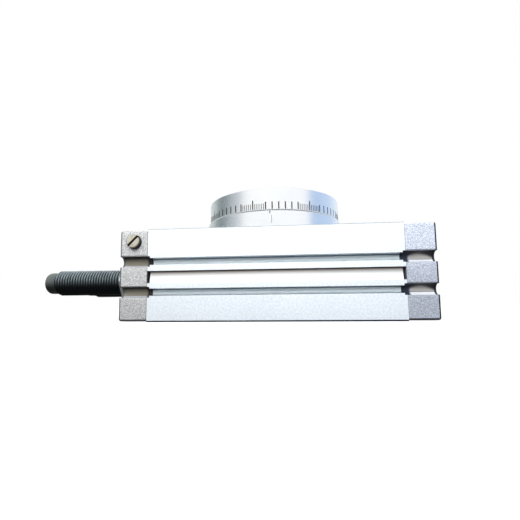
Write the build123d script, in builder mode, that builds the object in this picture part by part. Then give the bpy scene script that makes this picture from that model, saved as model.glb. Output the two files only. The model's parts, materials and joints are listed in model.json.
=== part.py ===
from build123d import *
import math
import os

# Pneumatic rotary table actuator: a double rack and pinion in a square aluminium body, two end covers,
# a turned table on top and two shock absorbers that screw into the left cover as end stops.
# Millimetres. The origin is on the bottom face, on the table's axis. +X runs along the length, away from
# the absorbers, -Y faces the front and +Z is up.

os.makedirs("parts", exist_ok=True)

# Clearances between pieces that move on each other, and between pieces that are fitted together
running_gap = 0.05
fitted_gap = 0.05
face_gap = 0.3
screw_gap = 0.25
turning_gap = 0.5

# Spare depth of blind tapped holes, and how far a cutting outline reaches past the surface that it cuts
tap_spare = 1.5
cut_over = 0.5

# Teeth of pinion and racks
tooth_module = 1.5
pinion_teeth = 14
rack_stroke_angle = 95.0
tooth_pitch = math.pi * tooth_module
pitch_radius = tooth_module * pinion_teeth / 2
rack_stroke = pitch_radius * math.radians(rack_stroke_angle)

# Seats of the two bearings that the shaft turns in
snap_ring_bottom = 2.0
snap_ring_thickness = 1.2
lower_bearing_height = 5.0
upper_bearing_height = 10.0
lower_seat = snap_ring_bottom + snap_ring_thickness + lower_bearing_height

# Body: two cylinder bores that reach a little inside the pinion's pitch circle, and the walls round them
# and round the bearing seats, which add up to its width and height
body_length = 123.0
body_edge = 0.5
bore_radius = 12.5
bore_bite = 4.0
side_wall = 8.5
floor_web = 0.3
bearing_web = 2.5
bore_offset = pitch_radius + bore_radius - bore_bite
bore_height = lower_seat + floor_web + bore_radius
body_end = body_length / 2
body_side = bore_offset + bore_radius + side_wall
body_height = bore_height + bore_radius + bearing_web + upper_bearing_height

# Switch grooves and recess along each side of the body
groove_below = 6.45
groove_above = 8.75
groove_heights = (bore_height - groove_below, bore_height + groove_above)
groove_mouth = 3.5
groove_radius = 2.3
groove_depth = 5.0
groove_end_length = 1.2
groove_end_depth = 3.6
recess_below = 2.0
recess_above = 4.0
recess_bottom = bore_height - recess_below
recess_top = bore_height + recess_above
recess_depth = 1.4
recess_lip = 0.35
recess_end_length = 1.0
recess_end_depth = 3.5

# End covers
cover_length = 14.5
cover_inset = 0.3
cover_bottom = 0.4
cover_top = body_height - cover_inset
cover_edge = 1.2
channel_width = 5.3
channel_depth = 4.5
channel_lip = 0.5
cover_end = body_end + cover_length
cover_side = body_side - cover_inset

# Cover bolts, socket head cap screws
bolt_radius = 2.5
bolt_head_radius = 4.25
bolt_head_height = 5.0
bolt_head_sink = 0.4
bolt_socket = 4.0
bolt_reach = 12.0
bolt_edge_margin = 5.8
bolt_low_height = 5.9
bolt_high_offset = 13.5
bolt_low = (body_side - bolt_edge_margin, bolt_low_height)
bolt_high = (bolt_high_offset, body_height - bolt_edge_margin)

# Air ports and passages, each hung from the body's top face
port_radius = 4.3
port_depth = 10.0
port_offset = 29.4
port_drop = 7.2
port_height = body_height - port_drop
passage_radius = 1.8
passage_drop = 6.5
passage_height = body_height - passage_drop
passage_overlap = 1.5
air_slot_depth = 2.0
side_port_radius = 2.5
side_port_inset = 7.6
side_port_x = side_port_inset - cover_end
side_port_drop = 6.3
side_port_height = body_height - side_port_drop

# Side port plugs
plug_head_radius = 3.4
plug_head_height = 2.2
plug_shank_length = 5.0
plug_edge = 0.4
plug_slot_width = 1.1
plug_slot_depth = 1.2
plug_slot_angle = 45.0
washer_radius = 3.6
washer_thickness = 0.6

# Gaskets between body and covers
gasket_thickness = 0.8
gasket_width = 1.6
gasket_bore_gap = 0.6

# Mounting holes through the body
mount_end_distance = 11.5
mount_spacing = body_length - 2 * mount_end_distance
mount_radius = 5.25
mount_sink_radius = 9.0
mount_sink_depth = 10.5
dowel_radius = 2.5
dowel_depth = 5.0
dowel_offset = 30.0
dowel_slot_length = 6.0

# Table
table_radius = 37.5
table_thickness = 11.4
table_edge = 0.5
table_lower_edge = 0.25
table_hub_radius = 21.0
table_hub_height = 8.6
table_bottom = body_height + table_hub_height
table_top = table_bottom + table_thickness
table_thread_radius = 3.4
table_thread_floor = 1.9
table_thread_depth = table_thickness - table_thread_floor
table_thread_circle = 55.0
table_thread_count = 8
table_spigot_radius = 17.5
table_spigot_depth = 3.0
table_pin_hole_angle = 22.5
table_pin_hole_radius = 2.5
table_pin_hole_depth = 5.0

# Hollow shaft and its pinion
hollow_radius = 5.0
pinion_half_height = 8.0
pinion_bottom = bore_height - pinion_half_height
pinion_top = bore_height + pinion_half_height
tooth_addendum = 1.4
tooth_dedendum = 1.55
backlash = 0.12
pressure_angle = 20.0
involute_points = 5
shaft_shoulder_thickness = 1.2
shaft_shoulder_radius = 19.3
shaft_collar_radius = 9.2
shaft_neck_radius = 9.2
shaft_bottom = 1.0

# Upper bearing, crossed rollers in two races
upper_bearing_inner = 17.5
upper_bearing_outer = 27.5
upper_roller_count = 20
upper_roller_radius = 2.4
upper_roller_length = 4.6
roller_gap = 0.03
race_gap = 0.3

# Lower bearing, plain rollers in two races
lower_bearing_inner = 8.5
lower_bearing_outer = 13.0
lower_roller_count = 12
lower_roller_radius = 0.9
lower_roller_length = 3.4
lower_lip = 0.45
lower_cage_wall = 0.7
lower_cage_height = 4.2
snap_ring_radius = 13.6
snap_ring_width = 1.7
snap_ring_gap = 60.0

# Fixed ring under the table
retainer_radius = 38.5
retainer_bore = 25.4
retainer_edge = 0.3
table_gap = 0.5
retainer_screw_count = 4
retainer_screw_angle = 45.0
retainer_screw_radius = 2.0
retainer_screw_head_radius = 3.5
retainer_screw_head_height = 4.0
retainer_screw_head_sink = 0.3
retainer_screw_margin = 2.0
retainer_screw_circle = retainer_radius - retainer_screw_head_radius - retainer_screw_margin
retainer_height = table_hub_height - table_gap
retainer_screw_grip = retainer_height - retainer_screw_head_height - retainer_screw_head_sink
retainer_screw_reach = 7.0
retainer_screw_socket = 3.0

# Screws and pin between table and shaft
table_screw_count = 4
table_screw_circle = 12.0
table_screw_radius = 2.0
table_screw_head_radius = 3.5
table_screw_head_height = 4.0
table_screw_head_sink = 5.0
table_screw_reach = 8.0
table_screw_socket = 3.0
table_pin_radius = 1.5
table_pin_length = 12.0
table_pin_angle = 45.0

# Piston racks
rack_radius = bore_radius - 2 * running_gap
rack_end_gap = 0.6
rack_half = body_end - rack_stroke - rack_end_gap
rack_addendum = 1.2
rack_dedendum = 1.75
rack_head = 14.89
rack_flat_half = rack_half - rack_head
rack_gap_count = 2 * int(rack_flat_half / tooth_pitch - 0.5) + 1
ring_gap = 0.03
seal_width = 2.4
seal_depth = 1.9
seal_inset = 7.0
wear_ring_width = 3.5
wear_ring_depth = 1.2
wear_ring_inset = 2.0
magnet_width = 2.4
magnet_depth = 1.7
magnet_inset = 11.2
pad_radius = 6.0
pad_thickness = 2.0
pad_proud = 0.3
rack_end_bore_gap = 0.4

# Shock absorbers
absorber_radius = 7.0
rack_end_bore_radius = absorber_radius + turning_gap
absorber_length = 67.3
absorber_out = 51.2
absorber_tip_radius = 5.9
absorber_tip_length = 6.2
absorber_tip_round = 2.0
absorber_chamfer = 0.8
absorber_root_radius = 6.1
absorber_pitch = 1.5
absorber_slot_width = 1.6
absorber_slot_depth = 1.4
absorber_stroke = 11.0
absorber_end = cover_end + absorber_out
absorber_bore_radius = 4.7
absorber_bore_depth = 32.0
rod_radius = 2.5
rod_round = 0.8
rod_guide_length = 5.0
rod_head_length = 3.0
nut_flats = 17.0
nut_thickness = 6.0
nut_chamfer = 0.6
nut_turn = 0.0
seal_ring_width = 1.2

sides = {"front": -1, "rear": 1}
ends = {"left": -1, "right": 1}


def air_loop_outline(side, margin):
    """Outline round one bore and its air passage, grown by a margin."""
    with BuildSketch() as loop:
        with Locations((side * bore_offset, bore_height)):
            Circle(bore_radius + margin)
        with Locations((side * port_offset, passage_height)):
            Circle(passage_radius + margin)
        make_hull()
    return loop.sketch


def air_slot_outline(side):
    """Outline of the slot from an air passage to the wall of its bore."""
    reach = math.hypot(port_offset - bore_offset, passage_height - bore_height)
    share = (reach - bore_radius + passage_radius) / reach
    with BuildSketch() as slot:
        with Locations(
            (side * port_offset, passage_height),
            (
                side * (port_offset + share * (bore_offset - port_offset)),
                passage_height + share * (bore_height - passage_height),
            ),
        ):
            Circle(passage_radius)
        make_hull()
    return slot.sketch


def gasket_outline(growth=0.0):
    """Outline of a gasket: a loop round each cylinder and its passage, joined by a bridge."""
    inside = gasket_bore_gap - growth
    outside = gasket_bore_gap + gasket_width + growth
    outer_loops = [air_loop_outline(side, outside) for side in sides.values()]
    inner_loops = [air_loop_outline(side, inside) for side in sides.values()]
    with BuildSketch() as outline:
        add(outer_loops)
        with Locations((0, bore_height)):
            Rectangle(2 * (bore_offset - bore_radius - outside / 2), gasket_width + 2 * growth)
        add(inner_loops, mode=Mode.SUBTRACT)
    return outline.sketch


def tooth_outline(base_radius, tip_radius, root_radius, half_angle):
    """Outline of one involute tooth that points along +X, with half its angle at the pitch circle."""
    pitch_roll = math.sqrt((pitch_radius / base_radius) ** 2 - 1)
    tip_roll = math.sqrt((tip_radius / base_radius) ** 2 - 1)
    start = half_angle + pitch_roll - math.atan(pitch_roll)
    flank = []
    for step in range(involute_points):
        roll = tip_roll * step / (involute_points - 1)
        radius = base_radius * math.sqrt(1 + roll**2)
        turn = start - (roll - math.atan(roll))
        flank.append((radius * math.cos(turn), radius * math.sin(turn)))
    foot = (root_radius * math.cos(start), root_radius * math.sin(start))
    with BuildSketch() as tooth:
        with BuildLine():
            Line((0, 0), foot)
            Line(foot, flank[0])
            Spline(*flank)
            Line(flank[-1], (flank[-1][0], -flank[-1][1]))
            Spline(*[(x, -y) for x, y in reversed(flank)])
            Line((flank[0][0], -flank[0][1]), (foot[0], -foot[1]))
            Line((foot[0], -foot[1]), (0, 0))
        make_face()
    return tooth.sketch


# Body: an extruded block with grooves, bored and drilled

with BuildPart() as body:
    with BuildSketch(Plane.YZ.offset(-body_end)) as body_section:
        Rectangle(2 * body_side, body_height, align=(Align.CENTER, Align.MIN))
        fillet(body_section.vertices(), body_edge)
        for side in sides.values():
            for height in groove_heights:
                groove_centre = side * (body_side - groove_depth + groove_radius)
                with Locations((groove_centre, height)):
                    Circle(groove_radius, mode=Mode.SUBTRACT)
                with Locations((side * body_side, height)):
                    Rectangle(2 * (groove_depth - groove_radius), groove_mouth, mode=Mode.SUBTRACT)
            with BuildLine():
                Polyline(
                    (side * body_side, recess_bottom),
                    (side * (body_side - recess_lip), recess_bottom),
                    (side * (body_side - recess_depth), recess_top),
                    (side * body_side, recess_top),
                    close=True,
                )
            make_face(mode=Mode.SUBTRACT)
    extrude(amount=body_length)

    # The grooves and the recess open out into small pockets beside the covers
    for end in ends.values():
        with BuildSketch(Plane.YZ.offset(end * (body_end - groove_end_length))):
            for side in sides.values():
                with Locations(*[(side * body_side, height) for height in groove_heights]):
                    Rectangle(2 * groove_end_depth, channel_width, mode=Mode.ADD)
        extrude(amount=end * groove_end_length, mode=Mode.SUBTRACT)
        with BuildSketch(Plane.YZ.offset(end * (body_end - recess_end_length))):
            with Locations(*[(side * body_side, recess_bottom) for side in sides.values()]):
                Rectangle(
                    2 * recess_end_depth, recess_top - recess_bottom, align=(Align.CENTER, Align.MIN)
                )
        extrude(amount=end * recess_end_length, mode=Mode.SUBTRACT)

    # Two bores for the piston racks and two long air passages
    with BuildSketch(Plane.YZ.offset(-body_end)):
        with Locations(*[(side * bore_offset, bore_height) for side in sides.values()]):
            Circle(bore_radius)
        with Locations(*[(side * port_offset, passage_height) for side in sides.values()]):
            Circle(passage_radius)
    extrude(amount=body_length, mode=Mode.SUBTRACT)

    # Stepped hole on the table's axis: bearing seats, room for the pinion and for the shaft's shoulder
    upper_seat = body_height - upper_bearing_height
    shoulder_room = upper_seat - shaft_shoulder_thickness - face_gap
    pinion_room = pitch_radius + tooth_addendum + turning_gap
    with BuildSketch(Plane.XY):
        Circle(lower_bearing_outer + fitted_gap)
    extrude(amount=lower_seat, mode=Mode.SUBTRACT)
    with BuildSketch(Plane.XY.offset(snap_ring_bottom)):
        Circle(snap_ring_radius + fitted_gap)
    extrude(amount=snap_ring_thickness, mode=Mode.SUBTRACT)
    with BuildSketch(Plane.XY):
        Circle(pinion_room)
    extrude(amount=body_height, mode=Mode.SUBTRACT)
    with BuildSketch(Plane.XY.offset(shoulder_room)):
        Circle(shaft_shoulder_radius + turning_gap)
    extrude(amount=body_height, mode=Mode.SUBTRACT)
    with BuildSketch(Plane.XY.offset(upper_seat)):
        Circle(upper_bearing_outer + fitted_gap)
    extrude(amount=upper_bearing_height, mode=Mode.SUBTRACT)

    # Mounting holes from the top, dowel hole and dowel slot underneath
    with Locations((-mount_spacing / 2, 0, body_height), (mount_spacing / 2, 0, body_height)):
        CounterBoreHole(mount_radius, mount_sink_radius, mount_sink_depth)
    with BuildSketch(Plane.XY):
        with Locations((-dowel_offset, 0)):
            Circle(dowel_radius)
        with Locations((dowel_offset, 0)):
            SlotOverall(dowel_slot_length, 2 * dowel_radius)
    extrude(amount=dowel_depth, mode=Mode.SUBTRACT)

    # Tapped holes for the cover bolts and for the screws of the ring under the table
    for end in ends.values():
        with BuildSketch(Plane.YZ.offset(end * body_end)):
            with Locations(*[(side * y, z) for side in sides.values() for y, z in (bolt_low, bolt_high)]):
                Circle(bolt_radius + fitted_gap)
        extrude(amount=-end * (bolt_reach + tap_spare), mode=Mode.SUBTRACT)
    with BuildSketch(Plane.XY.offset(body_height)):
        with PolarLocations(retainer_screw_circle, retainer_screw_count, retainer_screw_angle):
            Circle(retainer_screw_radius + fitted_gap)
    extrude(amount=-(retainer_screw_reach + tap_spare), mode=Mode.SUBTRACT)
body.part.label = "body"
export_step(body.part, "parts/body.step")


# End covers: rounded blocks with two channels round each side, sunk bolt holes and a seat for the gasket.
# The left one also carries the air ports and the threaded holes of the absorbers.

for end_name, end in ends.items():
    with BuildPart() as cover:
        with BuildSketch(Plane.YZ.offset(end * body_end)):
            with Locations((0, (cover_bottom + cover_top) / 2)):
                RectangleRounded(2 * cover_side, cover_top - cover_bottom, cover_edge)
        extrude(amount=end * cover_length)
        outer_face = cover.faces().sort_by(Axis.X)[-1 if end > 0 else 0]
        fillet(outer_face.edges(), cover_edge)

        # Channels with a half-round floor and softened lips
        with BuildSketch(Plane.YZ.offset(end * body_end)):
            for side in sides.values():
                for height in groove_heights:
                    floor_radius = channel_width / 2
                    lip_half = floor_radius + channel_lip
                    with Locations((side * (cover_side - channel_depth + floor_radius), height)):
                        Circle(floor_radius)
                    with Locations((side * cover_side, height)):
                        Rectangle(2 * (channel_depth - floor_radius), channel_width)
                    with BuildLine():
                        Polyline(
                            (side * (cover_side + cut_over), height + lip_half + cut_over),
                            (side * (cover_side - channel_lip), height + lip_half - channel_lip),
                            (side * (cover_side - channel_lip), height - lip_half + channel_lip),
                            (side * (cover_side + cut_over), height - lip_half - cut_over),
                            close=True,
                        )
                    make_face()
        extrude(amount=end * cover_length, mode=Mode.SUBTRACT)

        # Sunk holes for the bolts
        with BuildSketch(Plane.YZ.offset(end * body_end)):
            with Locations(*[(side * y, z) for side in sides.values() for y, z in (bolt_low, bolt_high)]):
                Circle(bolt_radius + screw_gap)
        extrude(amount=end * cover_length, mode=Mode.SUBTRACT)
        with BuildSketch(Plane.YZ.offset(end * cover_end)):
            with Locations(*[(side * y, z) for side in sides.values() for y, z in (bolt_low, bolt_high)]):
                Circle(bolt_head_radius + screw_gap)
        extrude(amount=-end * (bolt_head_height + bolt_head_sink), mode=Mode.SUBTRACT)

        # Seat of the gasket, and a slot inside it that leads each air passage to its cylinder
        with BuildSketch(Plane.YZ.offset(end * body_end)):
            add(gasket_outline(fitted_gap))
        extrude(amount=end * (gasket_thickness + fitted_gap), mode=Mode.SUBTRACT)
        with BuildSketch(Plane.YZ.offset(end * body_end)):
            for side in sides.values():
                add(air_slot_outline(side))
        extrude(amount=end * air_slot_depth, mode=Mode.SUBTRACT)

        if end_name == "left":
            # Air ports on the end, meeting the plugged ports on the sides and the long passages
            with BuildSketch(Plane.YZ.offset(-cover_end)):
                with Locations(*[(side * port_offset, port_height) for side in sides.values()]):
                    Circle(port_radius)
            extrude(amount=port_depth, mode=Mode.SUBTRACT)
            with BuildSketch(Plane.YZ.offset(-body_end)):
                with Locations(*[(side * port_offset, passage_height) for side in sides.values()]):
                    Circle(passage_radius)
            extrude(amount=-(cover_length - port_depth + passage_overlap), mode=Mode.SUBTRACT)
            for side in sides.values():
                with BuildSketch(Plane.XZ.offset(-side * cover_side)):
                    with Locations((side_port_x, side_port_height)):
                        Circle(side_port_radius + fitted_gap)
                extrude(amount=side * (cover_side - port_offset), mode=Mode.SUBTRACT)

            # Holes of the absorbers, with a seat for the seal ring at the outer face
            with BuildSketch(Plane.YZ.offset(-cover_end)):
                with Locations(*[(side * bore_offset, bore_height) for side in sides.values()]):
                    Circle(absorber_radius + running_gap)
            extrude(amount=cover_length, mode=Mode.SUBTRACT)
            with BuildSketch(Plane.YZ.offset(-cover_end)):
                with Locations(*[(side * bore_offset, bore_height) for side in sides.values()]):
                    Circle(absorber_radius + seal_ring_width + 2 * running_gap)
            extrude(amount=seal_ring_width, mode=Mode.SUBTRACT)
    cover.part.label = f"{end_name}_cover"
    export_step(cover.part, f"parts/{end_name}_cover.step")


# Bolts that hold each cover on the body

for end_name, end in ends.items():
    with BuildPart() as cover_bolts:
        places = [(side * y, z) for side in sides.values() for y, z in (bolt_low, bolt_high)]
        seat = cover_end - bolt_head_height - bolt_head_sink
        with BuildSketch(Plane.YZ.offset(end * (body_end - bolt_reach))):
            with Locations(*places):
                Circle(bolt_radius)
        extrude(amount=end * (seat - body_end + bolt_reach))
        with BuildSketch(Plane.YZ.offset(end * seat)):
            with Locations(*places):
                Circle(bolt_head_radius)
        extrude(amount=end * bolt_head_height)
        with BuildSketch(Plane.YZ.offset(end * (seat + bolt_head_height))):
            with Locations(*places):
                RegularPolygon(bolt_socket / 2, 6, major_radius=False)
        extrude(amount=-end * bolt_head_height / 2, mode=Mode.SUBTRACT)
    cover_bolts.part.label = f"{end_name}_cover_bolts"
    export_step(cover_bolts.part, f"parts/{end_name}_cover_bolts.step")


# Rubber gaskets between the body and the covers

for end_name, end in ends.items():
    with BuildPart() as gasket:
        with BuildSketch(Plane.YZ.offset(end * body_end)):
            add(gasket_outline())
        extrude(amount=end * gasket_thickness)
    gasket.part.label = f"{end_name}_gasket"
    export_step(gasket.part, f"parts/{end_name}_gasket.step")


# Slotted plugs with sealing washers in the side ports of the left cover

for side_name, side in sides.items():
    plug_foot = cover_side + washer_thickness
    with BuildPart() as side_plug:
        with BuildSketch(Plane.XZ.offset(-side * plug_foot)):
            with Locations((side_port_x, side_port_height)):
                Circle(plug_head_radius)
        extrude(amount=-side * plug_head_height)
        head_rim = side_plug.faces().sort_by(Axis.Y)[0 if side < 0 else -1].edges()
        chamfer(head_rim, plug_edge)
        with BuildSketch(Plane.XZ.offset(-side * (plug_foot + plug_head_height))):
            with Locations(Location((side_port_x, side_port_height), plug_slot_angle)):
                Rectangle(2.5 * plug_head_radius, plug_slot_width)
        extrude(amount=side * plug_slot_depth, mode=Mode.SUBTRACT)
        with BuildSketch(Plane.XZ.offset(-side * plug_foot)):
            with Locations((side_port_x, side_port_height)):
                Circle(side_port_radius)
        extrude(amount=side * plug_shank_length)
    side_plug.part.label = f"{side_name}_side_plug"
    export_step(side_plug.part, f"parts/{side_name}_side_plug.step")

with BuildPart() as plug_washers:
    for side in sides.values():
        with BuildSketch(Plane.XZ.offset(-side * cover_side)):
            with Locations((side_port_x, side_port_height)):
                Circle(washer_radius)
                Circle(side_port_radius + fitted_gap, mode=Mode.SUBTRACT)
        extrude(amount=-side * washer_thickness)
plug_washers.part.label = "plug_washers"
export_step(plug_washers.part, "parts/plug_washers.step")


# Fixed ring under the table: it clamps the outer race of the upper bearing

retainer_top = body_height + retainer_height
with BuildPart() as bearing_retainer:
    with BuildSketch(Plane.XY.offset(body_height)):
        Circle(retainer_radius)
        Circle(retainer_bore, mode=Mode.SUBTRACT)
    extrude(amount=retainer_top - body_height)
    chamfer(bearing_retainer.edges().filter_by(GeomType.CIRCLE).sort_by(SortBy.RADIUS)[-1], retainer_edge)
    with Locations((0, 0, retainer_top)):
        with PolarLocations(retainer_screw_circle, retainer_screw_count, retainer_screw_angle):
            CounterBoreHole(
                retainer_screw_radius + screw_gap,
                retainer_screw_head_radius + screw_gap,
                retainer_screw_head_height + retainer_screw_head_sink,
            )
bearing_retainer.part.label = "bearing_retainer"
export_step(bearing_retainer.part, "parts/bearing_retainer.step")

with BuildPart() as retainer_screws:
    with BuildSketch(Plane.XY.offset(body_height - retainer_screw_reach)):
        with PolarLocations(retainer_screw_circle, retainer_screw_count, retainer_screw_angle):
            Circle(retainer_screw_radius)
    extrude(amount=retainer_screw_reach + retainer_screw_grip)
    with BuildSketch(Plane.XY.offset(body_height + retainer_screw_grip)):
        with PolarLocations(retainer_screw_circle, retainer_screw_count, retainer_screw_angle):
            Circle(retainer_screw_head_radius)
            RegularPolygon(retainer_screw_socket / 2, 6, major_radius=False, mode=Mode.SUBTRACT)
    extrude(amount=retainer_screw_head_height)
retainer_screws.part.label = "retainer_screws"
export_step(retainer_screws.part, "parts/retainer_screws.step")


# Upper bearing: two races with V grooves, and rollers whose axes cross one another

upper_pitch = (upper_bearing_inner + upper_bearing_outer) / 2
upper_middle = body_height - upper_bearing_height / 2
groove_half = (upper_roller_radius + roller_gap) * math.sqrt(2)

with BuildPart() as upper_bearing_inner_race:
    with BuildSketch(Plane.XZ):
        with Locations((upper_bearing_inner, upper_middle)):
            Rectangle(
                upper_pitch - race_gap - upper_bearing_inner,
                upper_bearing_height,
                align=(Align.MIN, Align.CENTER),
            )
        with Locations((upper_pitch, upper_middle)):
            RegularPolygon(groove_half, 4, mode=Mode.SUBTRACT)
    revolve(axis=Axis.Z)
upper_bearing_inner_race.part.label = "upper_bearing_inner_race"
export_step(upper_bearing_inner_race.part, "parts/upper_bearing_inner_race.step")

with BuildPart() as upper_bearing_outer_race:
    with BuildSketch(Plane.XZ):
        with Locations((upper_bearing_outer, upper_middle)):
            Rectangle(
                upper_bearing_outer - upper_pitch - race_gap,
                upper_bearing_height,
                align=(Align.MAX, Align.CENTER),
            )
        with Locations((upper_pitch, upper_middle)):
            RegularPolygon(groove_half, 4, mode=Mode.SUBTRACT)
    revolve(axis=Axis.Z)
upper_bearing_outer_race.part.label = "upper_bearing_outer_race"
export_step(upper_bearing_outer_race.part, "parts/upper_bearing_outer_race.step")

with BuildPart() as upper_bearing_rollers:
    for number in range(upper_roller_count):
        turn = 360 / upper_roller_count * number
        tilt = 45 if number % 2 else -45
        seat = Location((0, 0, upper_middle), (0, 0, turn)) * Location((upper_pitch, 0, 0), (0, tilt, 0))
        with Locations(seat):
            Cylinder(upper_roller_radius, upper_roller_length)
upper_bearing_rollers.part.label = "upper_bearing_rollers"
export_step(upper_bearing_rollers.part, "parts/upper_bearing_rollers.step")


# Lower bearing: a plain inner race, an outer race with a lip on each side, rollers in a windowed cage,
# and the snap ring that holds it up

lower_pitch = (lower_bearing_inner + lower_bearing_outer) / 2
lower_bottom = snap_ring_bottom + snap_ring_thickness
lower_middle = lower_bottom + lower_bearing_height / 2

with BuildPart() as lower_bearing_inner_race:
    with BuildSketch(Plane.XY.offset(lower_bottom)):
        Circle(lower_pitch - lower_roller_radius - roller_gap)
        Circle(lower_bearing_inner, mode=Mode.SUBTRACT)
    extrude(amount=lower_bearing_height)
lower_bearing_inner_race.part.label = "lower_bearing_inner_race"
export_step(lower_bearing_inner_race.part, "parts/lower_bearing_inner_race.step")

with BuildPart() as lower_bearing_outer_race:
    with BuildSketch(Plane.XY.offset(lower_bottom)):
        Circle(lower_bearing_outer)
        Circle(lower_pitch + lower_roller_radius - lower_lip, mode=Mode.SUBTRACT)
    extrude(amount=lower_bearing_height)
    with BuildSketch(Plane.XY.offset(lower_middle - lower_roller_length / 2 - roller_gap)):
        Circle(lower_pitch + lower_roller_radius + roller_gap)
    extrude(amount=lower_roller_length + 2 * roller_gap, mode=Mode.SUBTRACT)
lower_bearing_outer_race.part.label = "lower_bearing_outer_race"
export_step(lower_bearing_outer_race.part, "parts/lower_bearing_outer_race.step")

with BuildPart() as lower_bearing_rollers:
    with BuildSketch(Plane.XY.offset(lower_middle - lower_roller_length / 2)):
        with PolarLocations(lower_pitch, lower_roller_count):
            Circle(lower_roller_radius)
    extrude(amount=lower_roller_length)
lower_bearing_rollers.part.label = "lower_bearing_rollers"
export_step(lower_bearing_rollers.part, "parts/lower_bearing_rollers.step")

with BuildPart() as lower_bearing_cage:
    with BuildSketch(Plane.XY.offset(lower_middle - lower_cage_height / 2)):
        Circle(lower_pitch + lower_cage_wall / 2)
        Circle(lower_pitch - lower_cage_wall / 2, mode=Mode.SUBTRACT)
    extrude(amount=lower_cage_height)
    with BuildSketch(Plane.XY.offset(lower_middle - lower_roller_length / 2 - roller_gap)):
        with PolarLocations(lower_pitch, lower_roller_count):
            Rectangle(2 * lower_cage_wall, 2 * (lower_roller_radius + roller_gap))
    extrude(amount=lower_roller_length + 2 * roller_gap, mode=Mode.SUBTRACT)
lower_bearing_cage.part.label = "lower_bearing_cage"
export_step(lower_bearing_cage.part, "parts/lower_bearing_cage.step")

with BuildPart() as lower_snap_ring:
    with BuildSketch(Plane.XZ):
        with Locations((snap_ring_radius, snap_ring_bottom)):
            Rectangle(snap_ring_width, snap_ring_thickness, align=(Align.MAX, Align.MIN))
    revolve(axis=Axis.Z, revolution_arc=360 - snap_ring_gap)
lower_snap_ring.part.label = "lower_snap_ring"
export_step(lower_snap_ring.part, "parts/lower_snap_ring.step")


# Table: a flat disc with a hub, a centring recess and tapped holes

with BuildPart() as table:
    with BuildSketch(Plane.XY.offset(table_bottom)):
        Circle(table_radius)
    extrude(amount=table_top - table_bottom)
    lower_rim, upper_rim = table.edges().filter_by(GeomType.CIRCLE).sort_by(Axis.Z)
    chamfer(lower_rim, table_lower_edge)
    chamfer(upper_rim, table_edge)
    with BuildSketch(Plane.XY.offset(body_height)):
        Circle(table_hub_radius)
    extrude(amount=table_bottom - body_height)
    with BuildSketch(Plane.XY.offset(table_top)):
        Circle(table_spigot_radius)
    extrude(amount=-table_spigot_depth, mode=Mode.SUBTRACT)
    with BuildSketch(Plane.XY.offset(body_height)):
        Circle(hollow_radius)
    extrude(amount=table_top - body_height, mode=Mode.SUBTRACT)
    with BuildSketch(Plane.XY.offset(table_top)):
        with PolarLocations(table_thread_circle / 2, table_thread_count):
            Circle(table_thread_radius)
    extrude(amount=-table_thread_depth, mode=Mode.SUBTRACT)
    with BuildSketch(Plane.XY.offset(table_top)):
        with PolarLocations(table_thread_circle / 2, 1, table_pin_hole_angle):
            Circle(table_pin_hole_radius)
    extrude(amount=-table_pin_hole_depth, mode=Mode.SUBTRACT)
    with Locations((0, 0, table_top - table_spigot_depth)):
        with PolarLocations(table_screw_circle, table_screw_count):
            CounterBoreHole(
                table_screw_radius + screw_gap, table_screw_head_radius + screw_gap, table_screw_head_sink
            )
    with BuildSketch(Plane.XY.offset(body_height)):
        with PolarLocations(table_screw_circle, 1, table_pin_angle):
            Circle(table_pin_radius + fitted_gap)
    extrude(amount=table_pin_length / 2 + fitted_gap, mode=Mode.SUBTRACT)
table.part.label = "table"
export_step(table.part, "parts/table.step")

table_screw_seat = table_top - table_spigot_depth - table_screw_head_sink
with BuildPart() as table_screws:
    with BuildSketch(Plane.XY.offset(body_height - table_screw_reach)):
        with PolarLocations(table_screw_circle, table_screw_count):
            Circle(table_screw_radius)
    extrude(amount=table_screw_seat - body_height + table_screw_reach)
    with BuildSketch(Plane.XY.offset(table_screw_seat)):
        with PolarLocations(table_screw_circle, table_screw_count):
            Circle(table_screw_head_radius)
            RegularPolygon(table_screw_socket / 2, 6, major_radius=False, mode=Mode.SUBTRACT)
    extrude(amount=table_screw_head_height)
table_screws.part.label = "table_screws"
export_step(table_screws.part, "parts/table_screws.step")

with BuildPart() as table_pin:
    with BuildSketch(Plane.XY.offset(body_height - table_pin_length / 2)):
        with PolarLocations(table_screw_circle, 1, table_pin_angle):
            Circle(table_pin_radius)
    extrude(amount=table_pin_length)
table_pin.part.label = "table_pin"
export_step(table_pin.part, "parts/table_pin.step")


# Hollow shaft with its pinion: involute teeth that mesh with a rack on each side

root_radius = pitch_radius - tooth_dedendum
tip_radius = pitch_radius + tooth_addendum
base_radius = pitch_radius * math.cos(math.radians(pressure_angle))
tooth_half_angle = (math.pi * tooth_module - backlash) / 4 / pitch_radius
one_tooth = tooth_outline(base_radius, tip_radius, root_radius, tooth_half_angle)

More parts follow.
